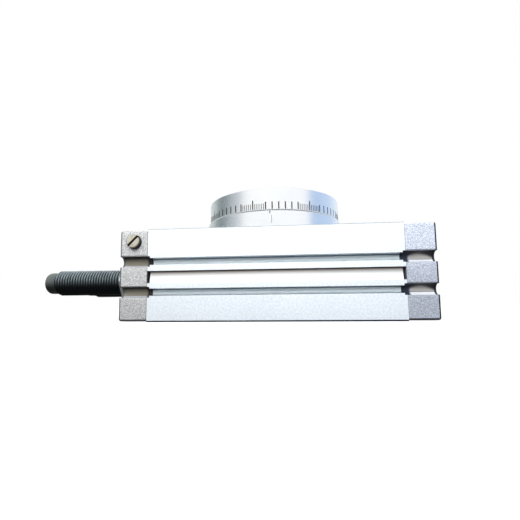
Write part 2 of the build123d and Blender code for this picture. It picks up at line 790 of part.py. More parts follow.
with BuildPart() as pinion_shaft:
    with BuildSketch(Plane.XZ):
        with BuildLine():
            Polyline(
                (hollow_radius, shaft_bottom),
                (lower_bearing_inner - fitted_gap, shaft_bottom),
                (lower_bearing_inner - fitted_gap, lower_seat),
                (shaft_collar_radius, lower_seat),
                (shaft_collar_radius, pinion_bottom),
                (root_radius, pinion_bottom),
                (root_radius, pinion_top),
                (shaft_neck_radius, pinion_top),
                (shaft_neck_radius, upper_seat - shaft_shoulder_thickness),
                (shaft_shoulder_radius, upper_seat - shaft_shoulder_thickness),
                (shaft_shoulder_radius, upper_seat),
                (upper_bearing_inner - fitted_gap, upper_seat),
                (upper_bearing_inner - fitted_gap, body_height),
                (hollow_radius, body_height),
                close=True,
            )
        make_face()
    revolve(axis=Axis.Z)
    with BuildSketch(Plane.XY.offset(pinion_bottom)):
        Circle((root_radius + hollow_radius) / 2)
        for number in range(pinion_teeth):
            with Locations(Location((0, 0), 90 + 360 / pinion_teeth * number)):
                add(one_tooth)
        Circle(hollow_radius, mode=Mode.SUBTRACT)
    extrude(amount=pinion_top - pinion_bottom)
    with BuildSketch(Plane.XY.offset(body_height)):
        with PolarLocations(table_screw_circle, table_screw_count):
            Circle(table_screw_radius + fitted_gap)
    extrude(amount=-(table_screw_reach + tap_spare), mode=Mode.SUBTRACT)
    with BuildSketch(Plane.XY.offset(body_height)):
        with PolarLocations(table_screw_circle, 1, table_pin_angle):
            Circle(table_pin_radius + fitted_gap)
    extrude(amount=-(table_pin_length / 2 + fitted_gap), mode=Mode.SUBTRACT)
pinion_shaft.part.label = "pinion_shaft"
export_step(pinion_shaft.part, "parts/pinion_shaft.step")


# Piston racks: round pistons with rack teeth cut along the side that faces the pinion. Each carries a seal
# and a wear ring near each end, a magnet, a bore in the left end that clears its absorber, and an end pad.

rack_tip = pitch_radius - rack_addendum
rack_root = pitch_radius + rack_dedendum
gap_half = (tooth_pitch + backlash) / 4
slope = math.tan(math.radians(pressure_angle))
barrel_inner_end = absorber_end - absorber_length
rod_reach = barrel_inner_end - absorber_stroke
rack_end_bore_depth = rack_half + rack_stroke - rod_reach + rack_end_bore_gap
seal_places = (-rack_half + seal_inset, rack_half - seal_inset - seal_width)
wear_ring_places = (-rack_half + wear_ring_inset, rack_half - wear_ring_inset - wear_ring_width)
magnet_places = (rack_half - magnet_inset - magnet_width,)
ring_sets = {
    "seals": (seal_places, seal_width, seal_depth),
    "wear_rings": (wear_ring_places, wear_ring_width, wear_ring_depth),
    "magnet": (magnet_places, magnet_width, magnet_depth),
}

for side_name, side in sides.items():
    centre = (side * bore_offset, bore_height)
    with BuildPart() as piston_rack:
        with BuildSketch(Plane.YZ.offset(-rack_half)):
            with Locations(centre):
                Circle(rack_radius)
        extrude(amount=2 * rack_half)
        with BuildSketch(Plane.XY.offset(bore_height - bore_radius)):
            with Locations((0, side * (bore_offset - bore_radius + rack_tip) / 2)):
                Rectangle(2 * rack_flat_half, rack_tip - bore_offset + bore_radius)
            with GridLocations(tooth_pitch, 0, rack_gap_count, 1):
                Polygon(
                    (-gap_half - (rack_addendum + cut_over) * slope, side * (rack_tip - cut_over)),
                    (gap_half + (rack_addendum + cut_over) * slope, side * (rack_tip - cut_over)),
                    (gap_half - rack_dedendum * slope, side * rack_root),
                    (-gap_half + rack_dedendum * slope, side * rack_root),
                    align=None,
                )
        extrude(amount=2 * bore_radius, mode=Mode.SUBTRACT)
        for places, width, depth in ring_sets.values():
            for place in places:
                with BuildSketch(Plane.YZ.offset(place)):
                    with Locations(centre):
                        Circle(bore_radius)
                        Circle(rack_radius - depth, mode=Mode.SUBTRACT)
                extrude(amount=width, mode=Mode.SUBTRACT)
        with BuildSketch(Plane.YZ.offset(-rack_half)):
            with Locations(centre):
                Circle(rack_end_bore_radius)
        extrude(amount=rack_end_bore_depth, mode=Mode.SUBTRACT)
        with BuildSketch(Plane.YZ.offset(rack_half)):
            with Locations(centre):
                Circle(pad_radius + fitted_gap)
        extrude(amount=-(pad_thickness - pad_proud), mode=Mode.SUBTRACT)
    piston_rack.part.label = f"{side_name}_piston_rack"
    export_step(piston_rack.part, f"parts/{side_name}_piston_rack.step")

    for ring_name, (places, width, depth) in ring_sets.items():
        with BuildPart() as rings:
            for place in places:
                with BuildSketch(Plane.YZ.offset(place + ring_gap)):
                    with Locations(centre):
                        Circle(bore_radius - ring_gap)
                        Circle(rack_radius - depth + ring_gap, mode=Mode.SUBTRACT)
                extrude(amount=width - 2 * ring_gap)
        rings.part.label = f"{side_name}_rack_{ring_name}"
        export_step(rings.part, f"parts/{side_name}_rack_{ring_name}.step")

    with BuildPart() as end_pad:
        with BuildSketch(Plane.YZ.offset(rack_half - pad_thickness + pad_proud)):
            with Locations(centre):
                Circle(pad_radius)
        extrude(amount=pad_thickness)
    end_pad.part.label = f"{side_name}_rack_end_pad"
    export_step(end_pad.part, f"parts/{side_name}_rack_end_pad.step")


# Shock absorbers: a threaded barrel with a plain tip, a guide bush in its mouth and a sprung rod, held by
# a lock nut and sealed by a ring under the nut. Rings stand for the turns of the barrel's thread, from the
# tip to the plain shank that the nut and the cover hold.

absorber_ring_count = round((absorber_out - nut_thickness - absorber_tip_length) / absorber_pitch)
barrel_profile = [(0, 0), (0, absorber_tip_radius), (absorber_tip_length, absorber_tip_radius)]
for number in range(absorber_ring_count):
    ring_start = absorber_tip_length + absorber_pitch * number
    barrel_profile.append((ring_start, absorber_root_radius))
    barrel_profile.append((ring_start + absorber_pitch / 2, absorber_radius))
barrel_profile.append((absorber_length - absorber_chamfer, absorber_radius))
barrel_profile.append((absorber_length, absorber_radius - absorber_chamfer))
barrel_profile.append((absorber_length, 0))

for side_name, side in sides.items():
    centre = (side * bore_offset, bore_height)
    with BuildPart() as absorber_barrel:
        with BuildSketch(Plane.XY.offset(bore_height)):
            with Locations((-absorber_end, side * bore_offset)):
                Polygon(*barrel_profile, align=None)
        revolve(axis=Axis((0, side * bore_offset, bore_height), (1, 0, 0)))
        fillet(absorber_barrel.edges().sort_by(Axis.X)[0], absorber_tip_round)
        with BuildSketch(Plane.YZ.offset(-absorber_end)):
            with Locations(centre):
                Rectangle(absorber_slot_width, 4 * absorber_tip_radius)
        extrude(amount=absorber_slot_depth, mode=Mode.SUBTRACT)
        with BuildSketch(Plane.YZ.offset(-barrel_inner_end)):
            with Locations(centre):
                Circle(absorber_bore_radius)
        extrude(amount=-absorber_bore_depth, mode=Mode.SUBTRACT)
    absorber_barrel.part.label = f"{side_name}_absorber_barrel"
    export_step(absorber_barrel.part, f"parts/{side_name}_absorber_barrel.step")

    with BuildPart() as rod_guide:
        with BuildSketch(Plane.YZ.offset(-barrel_inner_end)):
            with Locations(centre):
                Circle(absorber_bore_radius - fitted_gap)
                Circle(rod_radius + running_gap, mode=Mode.SUBTRACT)
        extrude(amount=-rod_guide_length)
    rod_guide.part.label = f"{side_name}_absorber_rod_guide"
    export_step(rod_guide.part, f"parts/{side_name}_absorber_rod_guide.step")

    with BuildPart() as absorber_rod:
        with BuildSketch(Plane.YZ.offset(-rod_reach)):
            with Locations(centre):
                Circle(rod_radius)
        extrude(amount=-(absorber_stroke + rod_guide_length + face_gap))
        fillet(absorber_rod.edges().filter_by(GeomType.CIRCLE).sort_by(Axis.X)[-1], rod_round)
        with BuildSketch(Plane.YZ.offset(-barrel_inner_end - rod_guide_length - face_gap)):
            with Locations(centre):
                Circle(absorber_bore_radius - running_gap)
        extrude(amount=-rod_head_length)
    absorber_rod.part.label = f"{side_name}_absorber_rod"
    export_step(absorber_rod.part, f"parts/{side_name}_absorber_rod.step")

    nut_corner = nut_flats / 2 / math.cos(math.radians(30))
    with BuildPart() as lock_nut:
        with BuildSketch(Plane.YZ.offset(-cover_end)):
            with Locations(centre):
                Circle(nut_corner)
        extrude(amount=-nut_thickness)
        chamfer(lock_nut.edges().filter_by(GeomType.CIRCLE), nut_chamfer)
        with BuildSketch(Plane.YZ.offset(-cover_end)):
            with Locations(centre):
                RegularPolygon(nut_flats / 2, 6, major_radius=False, rotation=nut_turn)
                Circle(absorber_radius + running_gap, mode=Mode.SUBTRACT)
        extrude(amount=-nut_thickness, mode=Mode.INTERSECT)
    lock_nut.part.label = f"{side_name}_lock_nut"
    export_step(lock_nut.part, f"parts/{side_name}_lock_nut.step")

with BuildPart() as absorber_seals:
    with BuildSketch(Plane.YZ.offset(-cover_end)):
        with Locations(*[(side * bore_offset, bore_height) for side in sides.values()]):
            Circle(absorber_radius + running_gap + seal_ring_width)
            Circle(absorber_radius + running_gap, mode=Mode.SUBTRACT)
    extrude(amount=seal_ring_width)
absorber_seals.part.label = "absorber_seals"
export_step(absorber_seals.part, "parts/absorber_seals.step")
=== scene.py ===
"""Dresses a pneumatic rotary table in its finishes and sets up its studio picture.

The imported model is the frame. Nodes whose shape is right get a finish, the shock absorbers' barrels give
way to ones with a helical thread, and the degree scale, index mark, label and tapped threads are added.
Lengths are metres, written as a number of millimetres times MM.
"""

from __future__ import annotations

import json
import logging
import math
from collections.abc import Callable, Sequence
from dataclasses import asdict, dataclass, replace
from enum import Enum
from functools import cache

import bmesh
import bpy
from bmesh.types import BMesh, BMVert
from bpy.types import Material, Mesh, Node, NodeSocket, Object
from mathutils import Matrix, Vector

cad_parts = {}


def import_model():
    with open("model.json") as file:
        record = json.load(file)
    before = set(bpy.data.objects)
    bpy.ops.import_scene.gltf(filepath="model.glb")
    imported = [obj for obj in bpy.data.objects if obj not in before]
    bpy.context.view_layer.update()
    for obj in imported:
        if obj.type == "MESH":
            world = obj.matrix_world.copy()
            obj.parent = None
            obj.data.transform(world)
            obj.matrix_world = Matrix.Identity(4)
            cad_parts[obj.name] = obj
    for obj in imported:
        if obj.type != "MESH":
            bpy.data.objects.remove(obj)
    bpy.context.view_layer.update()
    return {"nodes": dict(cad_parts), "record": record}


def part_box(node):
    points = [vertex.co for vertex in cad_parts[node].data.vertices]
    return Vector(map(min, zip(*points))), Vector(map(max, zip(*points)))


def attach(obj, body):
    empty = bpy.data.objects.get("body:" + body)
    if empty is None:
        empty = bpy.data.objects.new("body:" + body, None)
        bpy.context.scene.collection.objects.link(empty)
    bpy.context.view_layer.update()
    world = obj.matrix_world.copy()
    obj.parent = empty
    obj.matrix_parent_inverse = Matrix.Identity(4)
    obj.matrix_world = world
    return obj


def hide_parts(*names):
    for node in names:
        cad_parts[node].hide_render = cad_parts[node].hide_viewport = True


log = logging.getLogger("rotary_table")

MM = 0.001

Colour = tuple[float, float, float]
Point = tuple[float, float, float]
Span = tuple[float, float]
Inputs = dict[int | str, object]

WHITE: Colour = (1.0, 1.0, 1.0)

# A distance past every surface of the part
BEYOND = 1.0

# Rays for a rounded edge's normal
BEVEL_SAMPLES = 4

# A mix node's colour sockets by number, since their names repeat
MIX_FACTOR, MIX_FIRST, MIX_SECOND, MIX_RESULT = 0, 6, 7, 2


def levels(*pairs: Span) -> tuple[Span, ...]:
    """Return pairs of heights, given in millimetres, as metres."""
    return tuple((low * MM, high * MM) for low, high in pairs)


# Heights of bands of painted light and shade: grooves, channels, recess and pockets, then edges, in the
# long sides, and the absorbers' barrels
CHANNELS = levels((11.6, 17.5), (26.8, 32.7))
CHANNEL_LIPS = levels((11.6, 12.9), (26.8, 28.1))
PAINTED_HIGHLIGHT_LIPS = levels((11.6, 13.3), (26.8, 28.5))
GROOVES = levels((12.7, 16.4), (27.9, 31.6))
POCKETS = levels((11.8, 17.3), (18.9, 25.1), (27.0, 32.5))
RECESS = levels((18.9, 25.1))
BODY_FOOT = levels((0.03, 0.75))
BODY_TOP = levels((45.55, 45.97))
COVER_FOOT = levels((0.45, 1.3))
COVER_HEIGHT = levels((0.45, 45.6))
BARREL_HEIGHT = levels((15.0, 27.0))
ANY_HEIGHT = ((0.0, BEYOND),)

# The absorbers' axes and tip ends, and the radii between a thread's root and crest
ABSORBER_OFFSET = 19.0 * MM
ABSORBER_HEIGHT = 21.0 * MM
ABSORBER_TIP_END = -120.8 * MM
ROOT_TO_CREST: Span = (6.15 * MM, 6.85 * MM)

# Stretch of a die's lines, of cross scratches and of the rings on flat turned faces
DIE_LINES: Point = (0.012, 1.0, 1.0)
CROSS_SCRATCHES: Point = (1.0, 0.15, 1.0)
FACE_RINGS = 0.3

# Share and size of the second pattern in drawn and in blasted relief, and the relief's share in the tint
DRAWN_PITS = 0.25
DRAWN_PIT_SIZE = 0.7
BLASTED_PITS = 0.5
BLASTED_LUMP_SIZE = 1.6
RELIEF_IN_TINT = 0.4

# Depths of the relief on polished and on finely blasted surfaces
POLISHED = 0.001 * MM
FINE_PITS = 0.008 * MM

# Where masks made of noise and of an edge's turn start and end, and how much the roughness swings
NOISE_SPAN: Span = (0.3, 0.7)
PAINTED_GLINT_SPAN: Span = (0.58, 0.7)
EDGE_SPAN: Span = (0.01, 0.15)
ROUGHNESS_SWING = 0.12


class Body(str, Enum):
    """The moving bodies that dressed pieces ride on."""

    HOUSING = "housing"
    TURNTABLE = "turntable"
    FRONT_ABSORBER = "front_absorber"
    REAR_ABSORBER = "rear_absorber"


class Grain(Enum):
    """How a surface was made, which decides the pattern of its fine relief."""

    BLASTED = "fine even pits"
    DRAWN = "long lines from a die"
    TURNED = "rings about the upright axis"
    GROUND = "short cross scratches"
    MOULDED = "soft skin of rubber or resin"


@dataclass(frozen=True)
class Term:
    """A value that nodes work out, for sums written with Python's own operators."""

    tree: NodeTree
    socket: NodeSocket

    def __add__(self, other: Term | float) -> Term:
        """Return the sum."""
        return self.tree.math("ADD", self, other)

    def __sub__(self, other: Term | float) -> Term:
        """Return the difference."""
        return self.tree.math("SUBTRACT", self, other)

    def __rsub__(self, other: float) -> Term:
        """Return a plain number less this value."""
        return self.tree.math("SUBTRACT", other, self)

    def __mul__(self, other: Term | float) -> Term:
        """Return the product."""
        return self.tree.math("MULTIPLY", self, other)

    def __truediv__(self, other: Term | float) -> Term:
        """Return the quotient."""
        return self.tree.math("DIVIDE", self, other)

    def __abs__(self) -> Term:
        """Return the value without its sign."""
        return self.tree.math("ABSOLUTE", self)

    def __gt__(self, other: float) -> Term:
        """Return a mask that is 1 where the value is above a number."""
        return self.tree.math("GREATER_THAN", self, other)

    def __lt__(self, other: float) -> Term:
        """Return a mask that is 1 where the value is below a number."""
        return self.tree.math("LESS_THAN", self, other)

    def remap(self, source: Span = (0.0, 1.0), target: Span = (0.0, 1.0), kind: str = "LINEAR") -> Term:
        """Return the value taken from one span to another, and held inside it.

        Args:
            source: The lowest and highest value read.
            target: What they turn into.
            kind: The node's type of interpolation.

        Returns:
            The new value.
        """
        inputs = {"Value": self, "From Min": source[0], "From Max": source[1]}
        inputs |= {"To Min": target[0], "To Max": target[1]}
        return self.tree.term("ShaderNodeMapRange", inputs, interpolation_type=kind)

    def steep(self, low: float, high: float) -> Term:
        """Return a value that runs smoothly from 0 to 1 as this one runs from low to high."""
        return self.remap((low, high), kind="SMOOTHSTEP")


class NodeTree:
    """A tree of nodes, built up one by one."""

    def __init__(self, tree: bpy.types.NodeTree) -> None:
        """Keep the tree that the nodes go into."""
        self.tree = tree

    def put(self, socket: NodeSocket, value: object) -> None:
        """Link an input to a term, or set its plain value.

        Args:
            socket: The input socket.
            value: A term, or a value that the socket takes.
        """
        if isinstance(value, Term):
            self.tree.links.new(value.socket, socket)
        else:
            socket.default_value = value

    def node(self, kind: str, inputs: Inputs | None = None, **settings: object) -> Node:
        """Add a node.

        Args:
            kind: The node's type name.
            inputs: Socket name or number to term or plain value.
            settings: Attributes of the node.

        Returns:
            The new node.
        """
        node = self.tree.nodes.new(kind)
        for key, value in settings.items():
            setattr(node, key, value)
        for key, value in (inputs or {}).items():
            self.put(node.inputs[key], value)
        return node

    def term(self, kind: str, inputs: Inputs | None = None, output: int | str = 0, **settings: str) -> Term:
        """Add a node and return one of its outputs."""
        return Term(self, self.node(kind, inputs, **settings).outputs[output])

    def math(self, operation: str, *values: Term | float) -> Term:
        """Return the result of one arithmetic node."""
        return self.term("ShaderNodeMath", dict(enumerate(values)), operation=operation)

    def parts(self, vector: Term) -> list[Term]:
        """Return a vector's X, Y and Z."""
        return [Term(self, part) for part in self.node("ShaderNodeSeparateXYZ", {0: vector}).outputs]

    def vector(self, x: Term | float = 0.0, y: Term | float = 0.0, z: Term | float = 0.0) -> Term:
        """Return a vector made from its X, Y and Z."""
        return self.term("ShaderNodeCombineXYZ", {"X": x, "Y": y, "Z": z})

    def length(self, vector: Term) -> Term:
        """Return a vector's length."""
        return self.term("ShaderNodeVectorMath", {0: vector}, "Value", operation="LENGTH")

    def blend(self, factor: Term, first: Term | Colour, second: Term | Colour) -> Term:
        """Return a mix of two colours."""
        inputs = {MIX_FACTOR: factor, MIX_FIRST: opaque(first), MIX_SECOND: opaque(second)}
        return self.term("ShaderNodeMix", inputs, MIX_RESULT, data_type="RGBA")

    def rays(self) -> list[Term]:
        """Return a mask each for camera rays, glossy rays and rays that were let through."""
        masks = self.node("ShaderNodeLightPath").outputs
        return [Term(self, masks[f"Is {kind} Ray"]) for kind in ("Camera", "Glossy", "Transmission")]


def opaque(colour: Term | Colour) -> Term | tuple[float, float, float, float]:
    """Return a plain colour with full opacity, and a term as it is."""
    return colour if isinstance(colour, Term) else (*colour, 1.0)


class Shading(NodeTree):
    """A material's node tree, on the object's own coordinates."""

    def __init__(self, name: str) -> None:
        """Start a material with one principled shader.

        Args:
            name: The material's name.
        """
        self.material = bpy.data.materials.new(name)
        self.material.use_nodes = True
        super().__init__(self.material.node_tree)
        self.shader = self.tree.nodes["Principled BSDF"]
        self.place = self.term("ShaderNodeTexCoord", output="Object")

    def surface(self, values: dict[str, object]) -> None:
        """Put terms or plain values on the shader's inputs, by their names."""
        for key, value in values.items():
            self.put(self.shader.inputs[key], value)

    def stretched(self, stretch: Point) -> Term:
        """Return the object's coordinates scaled by a factor along each axis."""
        return self.term("ShaderNodeMapping", {"Vector": self.place, "Scale": stretch})

    def noise(self, grain: float, detail: float = 4.0, place: Term | None = None) -> Term:
        """Return noise from 0 to 1, with features of a size in metres and so many octaves of detail."""
        inputs = {"Vector": place or self.place, "Scale": 1 / grain, "Detail": detail}
        return self.term("ShaderNodeTexNoise", inputs, "Fac")

    def scaled(self, colour: Term, factor: Term) -> Term:
        """Return a colour made brighter or darker by a factor."""
        inputs = {0: colour, 1: self.vector(factor, factor, factor)}
        return self.term("ShaderNodeVectorMath", inputs, operation="MULTIPLY")

    def rounded_normal(self, radius: float) -> Term:
        """Return the surface normal with its sharp edges rounded over by a radius."""
        return self.term("ShaderNodeBevel", {"Radius": radius}, "Normal", samples=BEVEL_SAMPLES)

    def edge_mask(self, radius: float) -> Term:
        """Return a mask that is 1 on sharp edges and 0 on faces.

        Args:
            radius: How far the mask reaches from an edge, in metres.

        Returns:
            The mask.
        """
        plain = self.term("ShaderNodeNewGeometry", output="Normal")
        pair = {0: self.rounded_normal(radius), 1: plain}
        alike = self.term("ShaderNodeVectorMath", pair, "Value", operation="DOT_PRODUCT")
        return (1.0 - alike).steep(*EDGE_SPAN)

    def relief(self, height: Term, depth: float, normal: Term) -> Term:
        """Return a normal bumped by a pattern from 0 to 1 that is a depth in metres high."""
        inputs = {"Height": height, "Distance": depth, "Strength": 1.0, "Normal": normal}
        return self.term("ShaderNodeBump", inputs, "Normal")


@dataclass(frozen=True)
class Run:
    """A stretch along both long sides in which surfaces that lie behind a face get a painted colour, mostly
    painted shade.

    Distances are from the middle: near and far along X, face across Y. The painted colour fades out over a
    stretch before the face and over a soft stretch at its far end.
    """

    face: float
    near: float
    far: float
    fade: float = 1.2 * MM
    soft: float = 0.05 * MM


# Where along the sides the bands of painted light and shade lie
GROOVE_RUN = Run(39.95 * MM, 0.0, 60.25 * MM, fade=0.3 * MM)
RECESS_RUN = replace(GROOVE_RUN, far=60.45 * MM)
POCKET_RUN = replace(GROOVE_RUN, near=60.25 * MM, far=61.6 * MM)
BODY_EDGE_RUN = Run(40.2 * MM, 0.0, 61.6 * MM, fade=0.01 * MM)
CHANNEL_RUN = Run(39.5 * MM, 61.4 * MM, 75.6 * MM)
FOOT_RUN = Run(39.7 * MM, 61.4 * MM, 76.1 * MM, fade=0.02 * MM)
END_RUN = replace(FOOT_RUN, near=75.0 * MM, far=75.97 * MM)
JOINT_RUN = Run(40.2 * MM, 61.4 * MM, 61.9 * MM, fade=0.01 * MM)
TIP_RUN = Run(BEYOND, 120.95 * MM, 128 * MM, soft=0.0001 * MM)
PLUG_RUN = Run(42.3 * MM, 0.0, BEYOND, fade=0.3 * MM)


@dataclass(frozen=True)
class PaintedLightAndShade:
    """Painted light and shade in level bands along both long sides: painted shade in channels, pockets and
    the recess, along feet, top edges, cover ends and tips, painted light on lips and on the floors of
    grooves and of the right cover's channels, and dark lines at the covers' joints with the body.

    A second colour, mostly painted shadow under an upper lip, may come in over a span of each band's
    height, which a lens lowers towards the run's ends, and over a share of it at the foot.
    """

    heights: tuple[Span, ...]
    run: Run
    colour: Colour
    top_colour: Colour | None = None
    top: Span = (0.45, 1.0)
    lens: float = 0.0
    foot: float = 0.0

    def mask(self, shading: Shading) -> Term:
        """Return a mask that is 1 where the bands' painted colour goes and 0 elsewhere.

        Args:
            shading: The material's nodes.

        Returns:
            The mask.
        """
        x, y, z = shading.parts(shading.place)
        level = 0.0
        for low, high in self.heights:
            level = shading.math("MAXIMUM", level, (z > low) * (z < high))
        run = self.run
        sunk = 1.0 - abs(y).steep(run.face - run.fade, run.face)
        reached = 1.0 - abs(x).steep(run.far - run.soft, run.far)
        return level * sunk * (reached * (abs(x) > run.near))

    def tone(self, shading: Shading) -> Term | Colour:
        """Return the band's painted colour, which may change to the second colour in the upper part and at
        the foot.

        Args:
            shading: The material's nodes.

        Returns:
            The colour, as a term where it differs.
        """
        if not self.top_colour:
            return self.colour
        x, _, z = shading.parts(shading.place)
        middle = (self.run.near + self.run.far) / 2
        away = (abs(x) - middle) * (1 / (self.run.far - middle))
        sag = away * away * self.lens
        share = 0.0
        for low, high in self.heights:
            rise = (z - low) * (1 / (high - low))
            upper = (rise + sag).steep(*self.top)
            share = shading.math("MAXIMUM", share, upper * (z < high))
            if self.foot:
                lower = 1.0 - rise.steep(self.foot / 2, self.foot)
                share = shading.math("MAXIMUM", share, lower * (z > low))
        return shading.blend(share, self.colour, self.top_colour)


@dataclass(frozen=True)
class Finish:
    """One material of the part: its colour, with painted shade that may darken it towards the foot, gloss
    and fine relief.
    """

    name: str
    colour: Colour
    shade: Colour
    metallic: float
    roughness: float
    grain: Grain
    grain_size: float = 0.3 * MM
    depth: float = 0.01 * MM
    edge: float = 0.15 * MM
    edge_colour: Colour | None = None
    patches: float = 12 * MM
    # Share of white points painted in as glints
    painted_glints: float = 0.0
    painted_bands: tuple[PaintedLightAndShade, ...] = ()
    painted_root_shade: Colour | None = None
    specular: float = 0.5
    speckle: float = 0.0
    speckle_size: float = 0.36 * MM
    # Painted shade towards the foot: how much darker, and the heights over which it fades in
    painted_falloff: float = 0.0
    painted_falloff_span: Span = (-10 * MM, 40 * MM)

    def pattern(self, shading: Shading) -> Term:
        """Return the fine relief that belongs to the way the surface was made.

        Args:
            shading: The material's nodes.

        Returns:
            The pattern, from about 0 to 1.
        """
        size = self.grain_size
        if self.grain is Grain.DRAWN:
            lines = shading.noise(size, 3.0, shading.stretched(DIE_LINES))
            return lines * (1 - DRAWN_PITS) + shading.noise(size * DRAWN_PIT_SIZE, 2.0) * DRAWN_PITS
        if self.grain is Grain.TURNED:
            x, y, z = shading.parts(shading.place)
            radius = shading.length(shading.vector(x, y))
            return shading.noise(size, 3.0, shading.vector(radius * FACE_RINGS, 0.0, z))
        if self.grain is Grain.GROUND:
            return shading.noise(size, 3.0, shading.stretched(CROSS_SCRATCHES))
        if self.grain is Grain.MOULDED:
            return shading.noise(size, 5.0)
        cells = {"Vector": shading.place, "Scale": 1 / size}
        pits = shading.term("ShaderNodeTexVoronoi", cells, "Distance")
        return pits * BLASTED_PITS + shading.noise(size * BLASTED_LUMP_SIZE)

    def painted_root_shade_mask(self, shading: Shading) -> Term:
        """Return a painted-shade mask, 1 deep in the absorbers' thread grooves and 0 on the crests.

        Args:
            shading: The material's nodes.

        Returns:
            The mask.
        """
        x, y, z = shading.parts(shading.place)
        radius = shading.length(shading.vector(abs(y) - ABSORBER_OFFSET, z - ABSORBER_HEIGHT))
        return (1.0 - radius.steep(*ROOT_TO_CREST)) * (x > ABSORBER_TIP_END)

    def colouring(self, shading: Shading, pattern: Term, patches: Term) -> Term:
        """Return the surface's colour: tint, speckle and edges, with painted glints, falloff, light and
        shade.

        Args:
            shading: The material's nodes.
            pattern: The fine relief.
            patches: The wide, soft pattern.

        Returns:
            The colour.
        """
        tint = patches * (1 - RELIEF_IN_TINT) + pattern * RELIEF_IN_TINT
        colour = shading.blend(tint.steep(*NOISE_SPAN), self.shade, self.colour)
        if self.speckle:
            spots = shading.noise(self.speckle_size, 2.0).steep(*NOISE_SPAN)
            colour = shading.scaled(colour, spots.remap(target=(1 - self.speckle, 1 + self.speckle)))
        # Painted glints: white points of noise in the colour
        if self.painted_glints:
            points = shading.noise(self.grain_size, 2.0).steep(*PAINTED_GLINT_SPAN)
            colour = shading.blend(points * self.painted_glints, colour, WHITE)
        if self.edge_colour:
            colour = shading.blend(shading.edge_mask(self.edge), colour, self.edge_colour)
        # Painted shade: darker towards the foot, as if lit from above
        if self.painted_falloff:
            height = shading.parts(shading.place)[2].steep(*self.painted_falloff_span)
            colour = shading.scaled(colour, height.remap(target=(1 - self.painted_falloff, 1.0)))
        # Bands of painted light and shade, by place on the object
        for painted_band in self.painted_bands:
            colour = shading.blend(painted_band.mask(shading), colour, painted_band.tone(shading))
        # Painted shade: near black at the bottom of the thread's grooves
        if self.painted_root_shade:
            colour = shading.blend(self.painted_root_shade_mask(shading), colour, self.painted_root_shade)
        return colour

    def build(self) -> Material:
        """Make the material.

        Returns:
            A material of procedural nodes on object coordinates.
        """
        shading = Shading(self.name)
        pattern = self.pattern(shading)
        patches = shading.noise(self.patches, 3.0)
        swing = ROUGHNESS_SWING * self.roughness
        shading.surface({
            "Base Color": self.colouring(shading, pattern, patches),
            "Metallic": self.metallic,
            "Specular IOR Level": self.specular,
            "Roughness": patches.remap(target=(self.roughness - swing, self.roughness + swing)),
            "Normal": shading.relief(pattern, self.depth, shading.rounded_normal(self.edge)),
        })
        return shading.material


BODY_FINISH = Finish(
    "body_anodised", (0.87, 0.905, 0.93), (0.81, 0.855, 0.90), 0.45, 0.40, Grain.DRAWN,
    grain_size=0.35 * MM, depth=0.004 * MM, patches=30 * MM, painted_glints=0.25,
    speckle=0.07, speckle_size=1.0 * MM, painted_falloff=0.03,
    # Painted light and shade: light groove floors with shadow lines, shadow under the recess lip, black end
    # pockets, dark foot and top edges
    painted_bands=(
        PaintedLightAndShade(GROOVES, GROOVE_RUN, (0.93, 1.0, 1.0), (0.13, 0.17, 0.20), top=(0.74, 0.88), foot=0.2),
        PaintedLightAndShade(RECESS, RECESS_RUN, (0.90, 0.90, 0.89), (0.15, 0.12, 0.10), top=(0.30, 1.0)),
        PaintedLightAndShade(POCKETS, POCKET_RUN, (0.035, 0.04, 0.05)),
        PaintedLightAndShade(BODY_FOOT, BODY_EDGE_RUN, (0.02, 0.024, 0.03)),
        PaintedLightAndShade(BODY_TOP, BODY_EDGE_RUN, (0.33, 0.37, 0.39)),
    ),
)

COVER_FINISH = Finish(
    "cover_blasted", (0.60, 0.59, 0.58), (0.49, 0.48, 0.47), 0.35, 0.62, Grain.BLASTED,
    depth=0.03 * MM, edge=0.3 * MM, patches=6 * MM, speckle=0.45, painted_falloff=0.24,
    # Painted shade: dark channels with painted shadow under their lips, lighter lips, a dark foot, outer
    # end and channel ends, and a dark joint line
    painted_bands=(
        PaintedLightAndShade(CHANNELS, CHANNEL_RUN, (0.25, 0.225, 0.175), (0.02, 0.018, 0.015), top=(0.68, 0.9)),
        PaintedLightAndShade(CHANNEL_LIPS, CHANNEL_RUN, (0.50, 0.52, 0.54)),
        PaintedLightAndShade(COVER_FOOT, FOOT_RUN, (0.12, 0.12, 0.12)),
        PaintedLightAndShade(COVER_HEIGHT, END_RUN, (0.13, 0.13, 0.125)),
        PaintedLightAndShade(COVER_HEIGHT, JOINT_RUN, (0.09, 0.085, 0.08)),
        PaintedLightAndShade(CHANNELS, replace(CHANNEL_RUN, far=63.6 * MM, soft=1.4 * MM), (0.03, 0.03, 0.03)),
    ),
)

